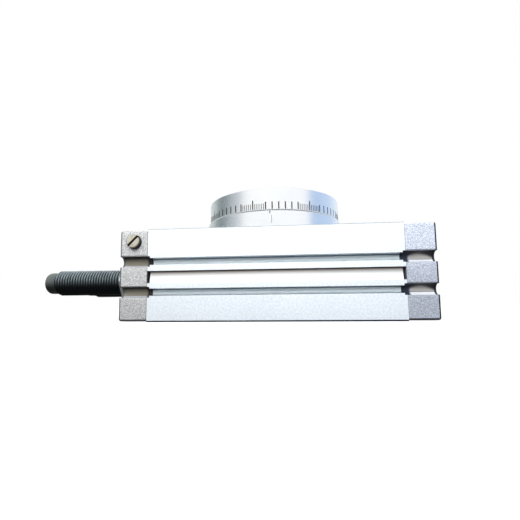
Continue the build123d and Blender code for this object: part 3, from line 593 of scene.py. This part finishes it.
# A lit copy of the cover finish for the right cover: its cooler, lighter colours and stronger falloff are
# painted light
LIT_RIGHT_COVER_FINISH = replace(
    COVER_FINISH, name="cover_blasted_right_painted_light", colour=(0.69, 0.72, 0.80), shade=(0.60, 0.63, 0.72),
    speckle=0.38, painted_falloff=0.36, painted_falloff_span=(10 * MM, 42 * MM),
    # Painted light and shade: light channel floors under painted shadow, painted highlights on the lips,
    # dark foot, end and channel ends
    painted_bands=(
        PaintedLightAndShade(
            CHANNELS, CHANNEL_RUN, (0.50, 0.465, 0.42), (0.03, 0.03, 0.035),
            top=(0.6, 0.9), lens=0.4, foot=0.42,
        ),
        PaintedLightAndShade(PAINTED_HIGHLIGHT_LIPS, CHANNEL_RUN, (0.97, 0.98, 1.0)),
        PaintedLightAndShade(COVER_FOOT, FOOT_RUN, (0.03, 0.03, 0.04)),
        PaintedLightAndShade(COVER_HEIGHT, replace(END_RUN, near=74.95 * MM), (0.015, 0.015, 0.02)),
        PaintedLightAndShade(COVER_HEIGHT, replace(JOINT_RUN, far=61.8 * MM), (0.24, 0.26, 0.30)),
        PaintedLightAndShade(CHANNELS, replace(CHANNEL_RUN, far=64.6 * MM, soft=1.2 * MM), (0.03, 0.035, 0.06)),
    ),
)

# Painted light and shade: near-black thread grooves, a barrel that fades to black below its axis, and a
# dark tip with a lighter top
ABSORBER_FINISH = Finish(
    "absorber_black", (0.27, 0.32, 0.335), (0.06, 0.075, 0.075), 0.2, 0.42, Grain.BLASTED,
    depth=FINE_PITS, edge=0.12 * MM, edge_colour=(0.40, 0.46, 0.49), patches=2.2 * MM,
    painted_root_shade=(0.010, 0.012, 0.013), specular=0.2,
    painted_falloff=1.0, painted_falloff_span=(18.2 * MM, 24.8 * MM),
    painted_bands=(
        PaintedLightAndShade(BARREL_HEIGHT, TIP_RUN, (0.012, 0.014, 0.014), (0.12, 0.135, 0.125), top=(0.2, 0.7)),
    ),
)

FINISHES = {finish.name: finish for finish in (
    BODY_FINISH,
    COVER_FINISH,
    LIT_RIGHT_COVER_FINISH,
    ABSORBER_FINISH,
    Finish(
        "table_turned", (0.86, 0.87, 0.88), (0.78, 0.80, 0.82), 0.95, 0.27, Grain.TURNED,
        grain_size=0.22 * MM, depth=0.003 * MM, patches=20 * MM, edge_colour=(0.95, 0.95, 0.96),
    ),
    Finish(
        "gear_steel", (0.52, 0.52, 0.53), (0.40, 0.41, 0.42), 1.0, 0.34, Grain.GROUND,
        edge_colour=(0.72, 0.72, 0.73),
    ),
    Finish(
        "bearing_steel", (0.68, 0.68, 0.69), (0.58, 0.59, 0.60), 1.0, 0.16, Grain.TURNED,
        depth=POLISHED,
    ),
    Finish(
        "screw_steel", (0.16, 0.16, 0.17), (0.08, 0.08, 0.09), 0.85, 0.38, Grain.BLASTED,
        grain_size=0.2 * MM, depth=0.006 * MM, edge_colour=(0.38, 0.38, 0.39),
    ),
    Finish("spring_steel", (0.20, 0.21, 0.24), (0.12, 0.12, 0.14), 1.0, 0.32, Grain.GROUND),
    Finish(
        "nut_plated", (0.70, 0.71, 0.72), (0.58, 0.59, 0.61), 0.95, 0.3, Grain.GROUND,
        edge_colour=(0.88, 0.88, 0.89),
    ),
    Finish(
        "plug_nickel", (0.66, 0.63, 0.53), (0.44, 0.41, 0.33), 0.9, 0.34, Grain.GROUND,
        grain_size=0.25 * MM, depth=0.004 * MM, patches=3 * MM,
        # Painted shade: all of the plug set back from its head's front face, the slot and the head's side,
        # is near black
        painted_bands=(PaintedLightAndShade(ANY_HEIGHT, PLUG_RUN, (0.02, 0.018, 0.014)),),
    ),
    Finish("rod_chrome", (0.78, 0.78, 0.79), (0.70, 0.70, 0.71), 1.0, 0.08, Grain.GROUND, depth=POLISHED),
    Finish("rubber_black", (0.035, 0.035, 0.036), (0.02, 0.02, 0.021), 0.0, 0.55, Grain.MOULDED),
    Finish("wear_resin", (0.40, 0.30, 0.18), (0.32, 0.23, 0.13), 0.0, 0.45, Grain.MOULDED),
    Finish("magnet_black", (0.06, 0.06, 0.065), (0.03, 0.03, 0.034), 0.1, 0.5, Grain.MOULDED),
    Finish(
        "guide_bronze", (0.62, 0.42, 0.20), (0.50, 0.32, 0.14), 1.0, 0.38, Grain.BLASTED,
        depth=FINE_PITS,
    ),
    Finish("scale_ink", (0.006, 0.006, 0.007), (0.004, 0.004, 0.004), 0.0, 0.3, Grain.MOULDED),
    Finish(
        "label_film", (0.90, 0.90, 0.905), (0.86, 0.87, 0.88), 0.0, 0.34, Grain.MOULDED,
        grain_size=2 * MM, depth=0.004 * MM, patches=25 * MM, edge=0.3 * MM,
        edge_colour=(0.62, 0.59, 0.55),
    ),
)}

# The right cover takes the lit copy of the cover finish, whose colours are painted light
NODE_FINISHES = {"right_cover": "cover_blasted_right_painted_light"}


@cache
def made_finish(name: str) -> Material:
    """Return the material of a named finish, which is made once."""
    return FINISHES[name].build()


class Dresser:
    """Puts the finishes on nodes and pieces."""

    def __init__(self, nodes: dict[str, Object], record: dict) -> None:
        """Keep the frame's nodes by name, and read each one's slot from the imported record."""
        self.nodes = nodes
        self.slots = {part["node"]: part["material_slot"] for part in record["subparts"]}

    def dress_node(self, name: str) -> None:
        """Give a node of the frame the finish of its slot, or its own.

        Args:
            name: The node's name.
        """
        node = self.nodes[name]
        if not node.material_slots:
            node.data.materials.append(None)
        finish = NODE_FINISHES.get(name, self.slots[name])
        for slot in node.material_slots:
            slot.material = made_finish(finish)
        log.info("dressed %s in %s", name, finish)

    def place(self, piece: Object, body: Body, slot: str, finish: str | None = None) -> None:
        """Put a made piece on its body and give it a finish.

        Args:
            piece: A mesh object at the origin.
            body: The body that it rides on.
            slot: The record's slot that it takes its finish from.
            finish: The finish's name, where it isn't the slot's own.
        """
        piece.data.materials.clear()
        piece.data.materials.append(made_finish(finish or slot))
        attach(piece, body.value)
        log.info("placed %s on %s, %d faces", piece.name, body.value, len(piece.data.polygons))


def add_object(name: str, data: bpy.types.ID) -> Object:
    """Make an object at the origin, linked to the scene.

    Args:
        name: The object's name.
        data: Its mesh, camera or light.

    Returns:
        The object.
    """
    made = bpy.data.objects.new(name, data)
    bpy.context.scene.collection.objects.link(made)
    return made


def evaluated_mesh(carrier: Object) -> Mesh:
    """Return a plain mesh of what an object's modifiers make."""
    ready = carrier.evaluated_get(bpy.context.evaluated_depsgraph_get())
    return bpy.data.meshes.new_from_object(ready)


def finished(name: str, shape: BMesh) -> Object:
    """Turn a filled mesh into an object.

    Args:
        name: The object's name.
        shape: The mesh, which is used up.

    Returns:
        The object, linked to the scene.
    """
    mesh = bpy.data.meshes.new(name)
    shape.to_mesh(mesh)
    shape.free()
    return add_object(name, mesh)


def mesh_object(name: str, build: Callable[[BMesh], object], smooth: bool = False) -> Object:
    """Make a mesh object at the origin.

    Args:
        name: The piece's name.
        build: A function that fills the mesh.
        smooth: Whether its faces are shaded smooth.

    Returns:
        The object, linked to the scene.
    """
    shape = bmesh.new()
    build(shape)
    bmesh.ops.recalc_face_normals(shape, faces=shape.faces)
    for face in shape.faces:
        face.smooth = smooth
    return finished(name, shape)


def joined(name: str, pieces: Sequence[Object], weld: float = 0.0) -> Object:
    """Join plain mesh pieces into one.

    Args:
        name: The joined piece's name.
        pieces: Mesh objects at the origin, which are used up.
        weld: Distance up to which points are merged and the whole is turned outwards, 0 for neither.

    Returns:
        One mesh object with all their faces.
    """
    shape = bmesh.new()
    for piece in pieces:
        shape.from_mesh(piece.data)
        bpy.data.objects.remove(piece)
    if weld:
        bmesh.ops.remove_doubles(shape, verts=shape.verts, dist=weld)
        bmesh.ops.recalc_face_normals(shape, faces=shape.faces)
    return finished(name, shape)


def bridge(shape: BMesh, first: Sequence[BMVert], second: Sequence[BMVert]) -> None:
    """Close the gap between two rings of points, either of which may be a single point.

    Args:
        shape: The mesh to fill.
        first: Points of one ring, in order.
        second: Points of the other ring.
    """
    for number in range(max(len(first), len(second))):
        corners = ((first, number), (first, number + 1), (second, number + 1), (second, number))
        points = dict.fromkeys(ring[spot % len(ring)] for ring, spot in corners)
        shape.faces.new(list(points))


@dataclass(frozen=True)
class Marks:
    """A row of equal bars round the table's axis: angles in degrees from the front, sizes in metres."""

    radius: float = 30.0 * MM
    bottom: float = 0.0
    top: float = 1.0 * MM
    width: float = 0.3 * MM
    count: int = 1
    first: float = 0.0
    step: float = 1.0
    proud: float = 0.03 * MM
    sunk: float = 0.3 * MM


@dataclass(frozen=True)
class Thread:
    """A screw thread's size, and how many points its skin has around and along it.

    A flank of 1 gives a sharp root, and a greater one leaves the root flat.
    """

    crest: float = 7.0 * MM
    depth: float = 0.9 * MM
    pitch: float = 1.5 * MM
    length: float = 60.0 * MM
    runout: float = 1.0 * MM
    around: int = 65
    along: int = 401
    flank: float = 1.15
    seam: float = 0.001 * MM


class GeometryTree(NodeTree):
    """A Geometry Nodes tree with a named input for each size of what it makes."""

    def __init__(self, name: str, defaults: Marks | Thread) -> None:
        """Start a tree.

        Args:
            name: The tree's name.
            defaults: The sizes, whose names with a capital are the inputs' names.
        """
        super().__init__(bpy.data.node_groups.new(name, "GeometryNodeTree"))
        self.sockets: dict[str, str] = {}
        for key, value in asdict(defaults).items():
            kind = "NodeSocketInt" if isinstance(value, int) else "NodeSocketFloat"
            socket = self.tree.interface.new_socket(key.capitalize(), in_out="INPUT", socket_type=kind)
            socket.default_value = value
            self.sockets[key] = socket.identifier
        self.tree.interface.new_socket("Geometry", in_out="OUTPUT", socket_type="NodeSocketGeometry")
        given = self.node("NodeGroupInput").outputs
        self.sizes = {key: Term(self, given[key.capitalize()]) for key in self.sockets}

    def finish(self, geometry: Term, material: Material) -> None:
        """End the tree in realized instances and a material.

        Args:
            geometry: What the tree has made.
            material: Its finish.
        """
        real = self.term("GeometryNodeRealizeInstances", {"Geometry": geometry})
        dressed = self.term("GeometryNodeSetMaterial", {"Geometry": real, "Material": material})
        self.node("NodeGroupOutput", {0: dressed})

    def make(self, name: str, sizes: Marks | Thread) -> Object:
        """Run the tree on its own and return the result as a plain mesh object.

        Args:
            name: The new piece's name.
            sizes: The sizes to make it with.

        Returns:
            A mesh object at the origin with no modifier.
        """
        carrier = add_object("carrier", bpy.data.meshes.new("carrier"))
        modifier = carrier.modifiers.new("build", "NODES")
        modifier.node_group = self.tree
        for key, value in asdict(sizes).items():
            modifier[self.sockets[key]] = value
        mesh = evaluated_mesh(carrier)
        mesh.name = name
        bpy.data.objects.remove(carrier)
        return add_object(name, mesh)


def radial_marks(material: Material) -> GeometryTree:
    """Build the tree for short bars that stand in a ring about the table's axis.

    Args:
        material: The marks' finish.

    Returns:
        The tree, which takes Marks.
    """
    tree = GeometryTree("radial_marks", Marks())
    size = tree.sizes
    points = tree.term("GeometryNodeMeshLine", {"Count": size["count"]}, mode="OFFSET")
    degrees = tree.term("GeometryNodeInputIndex") * size["step"] + size["first"]
    turn = tree.math("RADIANS", degrees)
    thick = size["proud"] + size["sunk"]
    middle = size["radius"] + size["proud"] - thick * 0.5
    height = size["top"] - size["bottom"]
    across = middle * tree.math("SINE", turn)
    back = middle * tree.math("COSINE", turn) * -1.0
    spot = tree.vector(across, back, height * 0.5 + size["bottom"])
    placed = tree.term("GeometryNodeSetPosition", {"Geometry": points, "Position": spot})
    bar = tree.term("GeometryNodeMeshCube", {"Size": tree.vector(size["width"], thick, height)}, "Mesh")
    ring = {"Points": placed, "Instance": bar, "Rotation": tree.vector(z=turn)}
    tree.finish(tree.term("GeometryNodeInstanceOnPoints", ring), material)
    return tree


def thread_skin(material: Material) -> GeometryTree:
    """Build the tree for a screw thread's skin, a sheet rolled round the X axis and raised in a helix.

    Args:
        material: The thread's finish.

    Returns:
        The tree, which takes a Thread. Its skin starts at the origin and is open at both ends.
    """
    tree = GeometryTree("thread_skin", Thread())
    size = tree.sizes
    grid = {"Size X": 1.0, "Size Y": 1.0, "Vertices X": size["along"], "Vertices Y": size["around"]}
    sheet = tree.term("GeometryNodeMeshGrid", grid, "Mesh")
    x, y, _ = tree.parts(tree.term("GeometryNodeInputPosition"))
    along = (x + 0.5) * size["length"]
    turn = y * (2 * math.pi)
    winding = along / size["pitch"] - y
    wave = abs(tree.math("FRACT", winding) * 2.0 - 1.0)
    valley = tree.math("MINIMUM", 1.0, wave * size["flank"])
    nearest_end = tree.math("MINIMUM", size["length"] - along, along)
    chamfer = 1.0 - tree.math("MINIMUM", 1.0, nearest_end / size["runout"])
    radius = size["crest"] - tree.math("MAXIMUM", valley, chamfer) * size["depth"]
    rolled = tree.vector(along, radius * tree.math("COSINE", turn), radius * tree.math("SINE", turn))
    skin = tree.term("GeometryNodeSetPosition", {"Geometry": sheet, "Position": rolled})
    closed = tree.term("GeometryNodeMergeByDistance", {"Geometry": skin, "Distance": size["seam"]})
    smooth = tree.term("GeometryNodeSetShadeSmooth", {"Geometry": closed, "Shade Smooth": True})
    tree.finish(smooth, material)
    return tree


@dataclass
class DegreeScale:
    """The inked degree scale round the table's edge, and the index mark on the ring below it."""

    marks: GeometryTree
    dresser: Dresser
    long_mark: Marks = Marks(bottom=55.0 * MM, top=59.75 * MM, width=0.6 * MM)
    short_marks: Marks = Marks(bottom=55.0 * MM, top=58.65 * MM, width=0.6 * MM, step=5.0)
    fine_marks: Marks = Marks(bottom=55.0 * MM, top=57.85 * MM, width=0.34 * MM, count=5)
    index_line: Marks = Marks(bottom=47.4 * MM, top=51.9 * MM, width=0.16 * MM)
    index_notch: Marks = Marks(bottom=52.5 * MM, top=53.8 * MM, width=0.45 * MM, first=-1.1)
    long_step: int = 45
    first_long: float = -14.4
    fine_reach: float = 10.0

    def scale_rows(self) -> list[Marks]:
        """Lay out the scale.

        Returns:
            For each long mark its own row, two rows of fine marks beside it, and the short ones after it.
        """
        fine_step = self.fine_reach / (self.fine_marks.count + 1)
        short_count = int((self.long_step - 2 * self.fine_reach) / self.short_marks.step) + 1
        rows = []
        for middle in range(0, 360, self.long_step):
            angle = self.first_long + middle
            rows.append(replace(self.long_mark, first=angle))
            for step in (-fine_step, fine_step):
                rows.append(replace(self.fine_marks, first=angle + step, step=step))
            rows.append(replace(self.short_marks, first=angle + self.fine_reach, count=short_count))
        return rows

    def ink(self, name: str, node: str, body: Body, rows: Sequence[Marks]) -> None:
        """Make one piece of marks on the edge of a round node.

        Args:
            name: The piece's name.
            node: The node that carries it.
            body: The body that it rides on.
            rows: Its rows of marks.
        """
        low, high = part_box(node)
        radius = (high[0] - low[0]) / 2
        made = [self.marks.make("marks", replace(row, radius=radius)) for row in rows]
        self.dresser.place(joined(name, made), body, "table_turned", "scale_ink")

    def make(self) -> None:
        """Make the scale and the index mark."""
        self.ink("degree_scale", "table", Body.TURNTABLE, self.scale_rows())
        self.ink("index_mark", "bearing_retainer", Body.HOUSING, (self.index_line, self.index_notch))


@dataclass
class ShockAbsorber:
    """One shock absorber's barrel with its helical thread, in place of the node with plain rings."""

    side: str
    body: Body
    threads: GeometryTree
    dresser: Dresser
    thread: Thread = Thread(depth=0.92 * MM, runout=1.2 * MM, around=73)
    steps_a_turn: int = 9
    tip_length: float = 6.2 * MM
    tip_radius: float = 5.9 * MM
    tip_round: float = 2.0 * MM
    round_steps: int = 8
    shoulder: float = 0.2 * MM
    slot_width: float = 1.6 * MM
    slot_depth: float = 1.4 * MM
    bore: float = 4.7 * MM
    bore_depth: float = 8.0 * MM
    weld: float = 0.002 * MM

    def caps(self, shape: BMesh, end: Vector, length: float, crest: float) -> None:
        """Add the plain tip, the shoulder behind it and the mouth at the inner end.

        Args:
            shape: The mesh to fill.
            end: The middle of the tip's outer end.
            length: The whole barrel's length.
            crest: Radius at the thread's crest.
        """
        root = crest - self.thread.depth
        tip = [(0.0, 0.0)]
        for step in range(self.round_steps + 1):
            turn = math.pi / 2 * step / self.round_steps
            x = self.tip_round * (1 - math.cos(turn))
            tip.append((x, self.tip_radius - self.tip_round * (1 - math.sin(turn))))
        tip += [(self.tip_length - self.shoulder, self.tip_radius), (self.tip_length, root)]
        self.lathe(shape, tip, end)
        floor = length - self.bore_depth
        self.lathe(shape, [(length, root), (length, self.bore), (floor, self.bore), (floor, 0.0)], end)

    def lathe(self, shape: BMesh, profile: Sequence[Span], start: Vector) -> None:
        """Turn a profile about the barrel's axis.

        Args:
            shape: The mesh to fill.
            profile: Distances from the start and radii, in order.
            start: A point on the axis.
        """
        count = self.thread.around - 1
        rings = []
        for x, radius in profile:
            turns = [2 * math.pi * number / count for number in range(count if radius else 1)]
            spots = [Vector((x, radius * math.cos(turn), radius * math.sin(turn))) for turn in turns]
            rings.append([shape.verts.new(start + spot) for spot in spots])
        for first, second in zip(rings, rings[1:]):
            bridge(shape, first, second)

    def cut_slot(self, barrel: Object, end: Vector) -> None:
        """Cut the screwdriver slot upright across the tip.

        Args:
            barrel: The closed barrel, which is given the cut mesh.
            end: The middle of the tip's outer end.
        """
        size = Matrix.Diagonal((2 * self.slot_depth, self.slot_width, 4 * self.tip_radius, 1.0))
        block = {"size": 1.0, "matrix": Matrix.Translation(end) @ size}
        cutter = mesh_object("slot_cutter", lambda shape: bmesh.ops.create_cube(shape, **block))
        modifier = barrel.modifiers.new("slot", "BOOLEAN")
        modifier.object = cutter
        modifier.operation = "DIFFERENCE"
        modifier.solver = "EXACT"
        mesh = evaluated_mesh(barrel)
        barrel.modifiers.clear()
        barrel.data = mesh
        bpy.data.objects.remove(cutter)

    def make(self) -> None:
        """Make the barrel and let it stand for the node."""
        low, high = (Vector(corner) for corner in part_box(f"{self.side}_absorber_barrel"))
        end = Vector((low.x, (low.y + high.y) / 2, (low.z + high.z) / 2))
        crest = (high.z - low.z) / 2
        length = high.x - low.x
        cut = length - self.tip_length
        along = int(cut / self.thread.pitch * self.steps_a_turn) + 1
        skin = self.threads.make("thread", replace(self.thread, crest=crest, length=cut, along=along))
        skin.data.transform(Matrix.Translation(end + Vector((self.tip_length, 0.0, 0.0))))
        caps = mesh_object("caps", lambda shape: self.caps(shape, end, length, crest), smooth=True)
        barrel = joined(f"{self.side}_threaded_barrel", [skin, caps], self.weld)
        self.cut_slot(barrel, end)
        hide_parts(f"{self.side}_absorber_barrel")
        self.dresser.place(barrel, self.body, "absorber_black")


@dataclass
class Label:
    """The bare label on the front of the body."""

    dresser: Dresser
    left: float = -59.5 * MM
    right: float = -22.6 * MM
    bottom: float = 33.2 * MM
    top: float = 44.6 * MM
    corner: float = 1.4 * MM
    thickness: float = 0.08 * MM
    corner_steps: int = 6

    def outline(self) -> list[Span]:
        """Lay out the label.

        Returns:
            Its outline with rounded corners, as (x, z) pairs.
        """
        left, right = self.left + self.corner, self.right - self.corner
        bottom, top = self.bottom + self.corner, self.top - self.corner
        points = []
        for quarter, (x, z) in enumerate(((right, top), (left, top), (left, bottom), (right, bottom))):
            for step in range(self.corner_steps + 1):
                turn = math.pi / 2 * (quarter + step / self.corner_steps)
                points.append((x + self.corner * math.cos(turn), z + self.corner * math.sin(turn)))
        return points

    def build(self, shape: BMesh, face: float) -> None:
        """Fill the mesh with a thin plate on the body's front face.

        Args:
            shape: The mesh to fill.
            face: Y of the front face.
        """
        front, back = (
            [shape.verts.new((x, y, z)) for x, z in self.outline()]
            for y in (face - self.thickness, face + self.thickness)
        )
        shape.faces.new(front)
        shape.faces.new(list(reversed(back)))
        bridge(shape, front, back)

    def make(self) -> None:
        """Make the label."""
        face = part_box("body")[0][1]
        plate = mesh_object("blank_label", lambda shape: self.build(shape, face))
        self.dresser.place(plate, Body.HOUSING, "body_anodised", "label_film")


@dataclass
class TappedThreads:
    """Female threads in the table's holes and in the air ports."""

    threads: GeometryTree
    dresser: Dresser
    table_thread: Thread = Thread(3.4 * MM, 0.18 * MM, 1.25 * MM, 8.6 * MM, 0.3 * MM, 33, 41)
    table_circle: float = 27.5 * MM
    table_count: int = 8
    table_sunk: float = 0.3 * MM
    port_thread: Thread = Thread(4.3 * MM, 0.18 * MM, 0.907 * MM, 6.4 * MM, 0.3 * MM, 41, 42)
    port_offset: float = 29.4 * MM
    port_height: float = 38.8 * MM
    port_sunk: float = 0.4 * MM

    def tap(self, thread: Thread, place: Matrix) -> Object:
        """Return one thread that faces inwards.

        Args:
            thread: Its size.
            place: Where its start goes, turned from +X.

        Returns:
            The thread as a mesh object at the origin.
        """
        piece = self.threads.make("tap", thread)
        piece.data.transform(place)
        piece.data.flip_normals()
        return piece

    def make(self) -> None:
        """Make the threads of the table and of the ports."""
        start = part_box("table")[1][2] - self.table_sunk
        downwards = Matrix.Rotation(math.pi / 2, 4, "Y")
        holes = []
        for number in range(self.table_count):
            turn = 2 * math.pi * number / self.table_count
            spot = (self.table_circle * math.cos(turn), self.table_circle * math.sin(turn), start)
            holes.append(self.tap(self.table_thread, Matrix.Translation(spot) @ downwards))
        self.dresser.place(joined("table_tapped_threads", holes), Body.TURNTABLE, "table_turned")

        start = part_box("left_cover")[0][0] + self.port_sunk
        ports = [
            self.tap(self.port_thread, Matrix.Translation((start, offset, self.port_height)))
            for offset in (-self.port_offset, self.port_offset)
        ]
        self.dresser.place(joined("port_threads", ports), Body.HOUSING, "cover_blasted")


@dataclass(frozen=True)
class Lamp:
    """One square soft light, aimed at the object: its side is in metres, its power in watts."""

    name: str
    place: Point
    side: float
    power: float
    colour: Colour
    target: Point = (0.0, 0.0, 30.0 * MM)

    def make(self) -> None:
        """Add the light to the scene, unseen in reflections."""
        data = bpy.data.lights.new(self.name, "AREA")
        data.size = self.side
        data.energy = self.power
        data.color = self.colour
        lamp = add_object(self.name, data)
        lamp.location = self.place
        aim = Vector(self.target) - Vector(self.place)
        lamp.rotation_euler = aim.to_track_quat("-Z", "Y").to_euler()
        lamp.visible_glossy = False


@dataclass
class Studio:
    """The picture's camera, lamps, white floor, and surroundings in bands by their angle in degrees."""

    image: int = 520
    focal_pixels: float = 340.025
    principal: Span = (251.3, 270.913)
    place: Point = (5.486 * MM, -201.143 * MM, 7.811 * MM)
    tilt: Point = (-0.101, 0.095, -0.018)
    sensor: float = 36.0
    nearest: float = 10.0 * MM
    floor_size: float = 6.0
    floor_colour: Colour = (0.35, 0.35, 0.35)
    floor_bounce: Colour = (0.06, 0.06, 0.06)
    floor_roughness: float = 0.9
    floor_glow: float = 0.78
    floor_glow_span: Span = (0.15, 0.6)
    floor_mirrored: float = 0.12
    ambient: Colour = (0.20, 0.215, 0.235)
    overhead: Colour = (0.92, 0.92, 0.93)
    overhead_span: Span = (0.35, 0.75)
    surround_strength: float = 1.25
    surround: tuple[tuple[float, Colour], ...] = (
        (-180, (0.68, 0.72, 0.72)),
        (-140, (0.58, 0.63, 0.63)),
        (-98, (0.13, 0.17, 0.175)),
        (-66, (0.44, 0.48, 0.51)),
        (-42, (0.98, 0.98, 0.98)),
        (56, (0.98, 0.98, 0.99)),
        (72, (0.38, 0.53, 0.77)),
        (106, (0.50, 0.63, 0.83)),
        (134, (0.72, 0.80, 0.90)),
        (156, (0.84, 0.84, 0.84)),
    )
    lamps: tuple[Lamp, ...] = (
        Lamp("near", (-0.05, -0.31, 0.20), 0.18, 0.85, (1.0, 0.99, 0.975)),
        Lamp("key", (-0.35, -0.5, 0.78), 0.4, 4.0, (1.0, 0.985, 0.96)),
        Lamp("fill", (0.22, -0.65, 0.32), 0.4, 2.4, (0.70, 0.84, 1.0)),
        Lamp("top", (0.1, 0.25, 0.75), 0.5, 3.0, WHITE),
    )

    def camera(self) -> None:
        """Set the camera where the photograph was taken."""
        data = bpy.data.cameras.new("camera")
        data.sensor_width = self.sensor
        data.lens = self.focal_pixels / self.image * self.sensor
        data.shift_x = (self.image / 2 - self.principal[0]) / self.image
        data.shift_y = (self.principal[1] - self.image / 2) / self.image
        data.clip_start = self.nearest
        about_x, about_y, about_z = (Matrix.Rotation(turn, 3, axis) for turn, axis in zip(self.tilt, "XYZ"))
        level = Matrix(((1, 0, 0), (0, 0, -1), (0, 1, 0)))
        right, down, ahead = (Vector(row) for row in about_z @ about_y @ about_x @ level)
        turned = Matrix((right, -down, -ahead)).transposed()
        camera = add_object("camera", data)
        camera.matrix_world = Matrix.Translation(self.place) @ turned.to_4x4()
        bpy.context.scene.camera = camera

    def floor(self) -> None:
        """Lay the white floor, which keeps the object's shadow."""
        square = {"x_segments": 1, "y_segments": 1, "size": self.floor_size / 2}
        floor = mesh_object("floor", lambda shape: bmesh.ops.create_grid(shape, **square))
        shading = Shading("floor_white")
        camera, glossy, passed = shading.rays()
        seen = shading.math("MAXIMUM", camera, passed)
        away = shading.length(shading.place).steep(*self.floor_glow_span)
        glow = seen * away.remap(target=(self.floor_glow, 1.0))
        shading.surface({
            "Base Color": shading.blend(seen, self.floor_bounce, self.floor_colour),
            "Roughness": self.floor_roughness,
            "Specular IOR Level": 0.0,
            "Emission Color": opaque(WHITE),
            "Emission Strength": shading.math("MAXIMUM", glow, glossy * self.floor_mirrored),
        })
        floor.data.materials.append(shading.material)

    def world(self) -> None:
        """Set the surroundings: white to the camera, soft grey and blue bands to glossy surfaces."""
        world = bpy.data.worlds.new("studio")
        world.use_nodes = True
        bpy.context.scene.world = world
        world.node_tree.nodes.clear()
        tree = NodeTree(world.node_tree)
        x, y, z = tree.parts(tree.term("ShaderNodeTexCoord", output="Generated"))
        share = tree.math("ARCTAN2", x, y * -1.0).remap((-math.pi, math.pi))
        bands = tree.node("ShaderNodeValToRGB", {0: share})
        bands.color_ramp.interpolation = "EASE"
        elements = bands.color_ramp.elements
        ready = len(elements)
        for number, (angle, colour) in enumerate(self.surround):
            spot = (angle + 180) / 360
            element = elements[number] if number < ready else elements.new(spot)
            element.position = spot
            element.color = opaque(colour)
        camera, glossy, passed = tree.rays()
        shiny = tree.math("MAXIMUM", glossy, passed)
        gloss = tree.blend(z.remap(self.overhead_span), Term(tree, bands.outputs[0]), self.overhead)
        colour = tree.blend(camera, tree.blend(shiny, self.ambient, gloss), WHITE)
        strength = shiny.remap(target=(1.0, self.surround_strength))
        background = tree.term("ShaderNodeBackground", {"Color": colour, "Strength": strength})
        tree.node("ShaderNodeOutputWorld", {0: background})

    def make(self) -> None:
        """Set up the whole studio."""
        self.camera()
        self.floor()
        self.world()
        for lamp in self.lamps:
            lamp.make()
        bpy.context.scene.view_settings.view_transform = "Standard"


def main() -> None:
    """Load the frame, dress it, and set up the picture."""
    logging.basicConfig(level=logging.INFO, format="%(name)s: %(message)s")
    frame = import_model()
    dresser = Dresser(frame["nodes"], frame["record"])
    for name in sorted(frame["nodes"]):
        dresser.dress_node(name)
    threads = thread_skin(made_finish("absorber_black"))
    DegreeScale(radial_marks(made_finish("scale_ink")), dresser).make()
    ShockAbsorber("front", Body.FRONT_ABSORBER, threads, dresser).make()
    ShockAbsorber("rear", Body.REAR_ABSORBER, threads, dresser).make()
    Label(dresser).make()
    TappedThreads(threads, dresser).make()
    Studio().make()


if __name__ == "__main__":
    main()
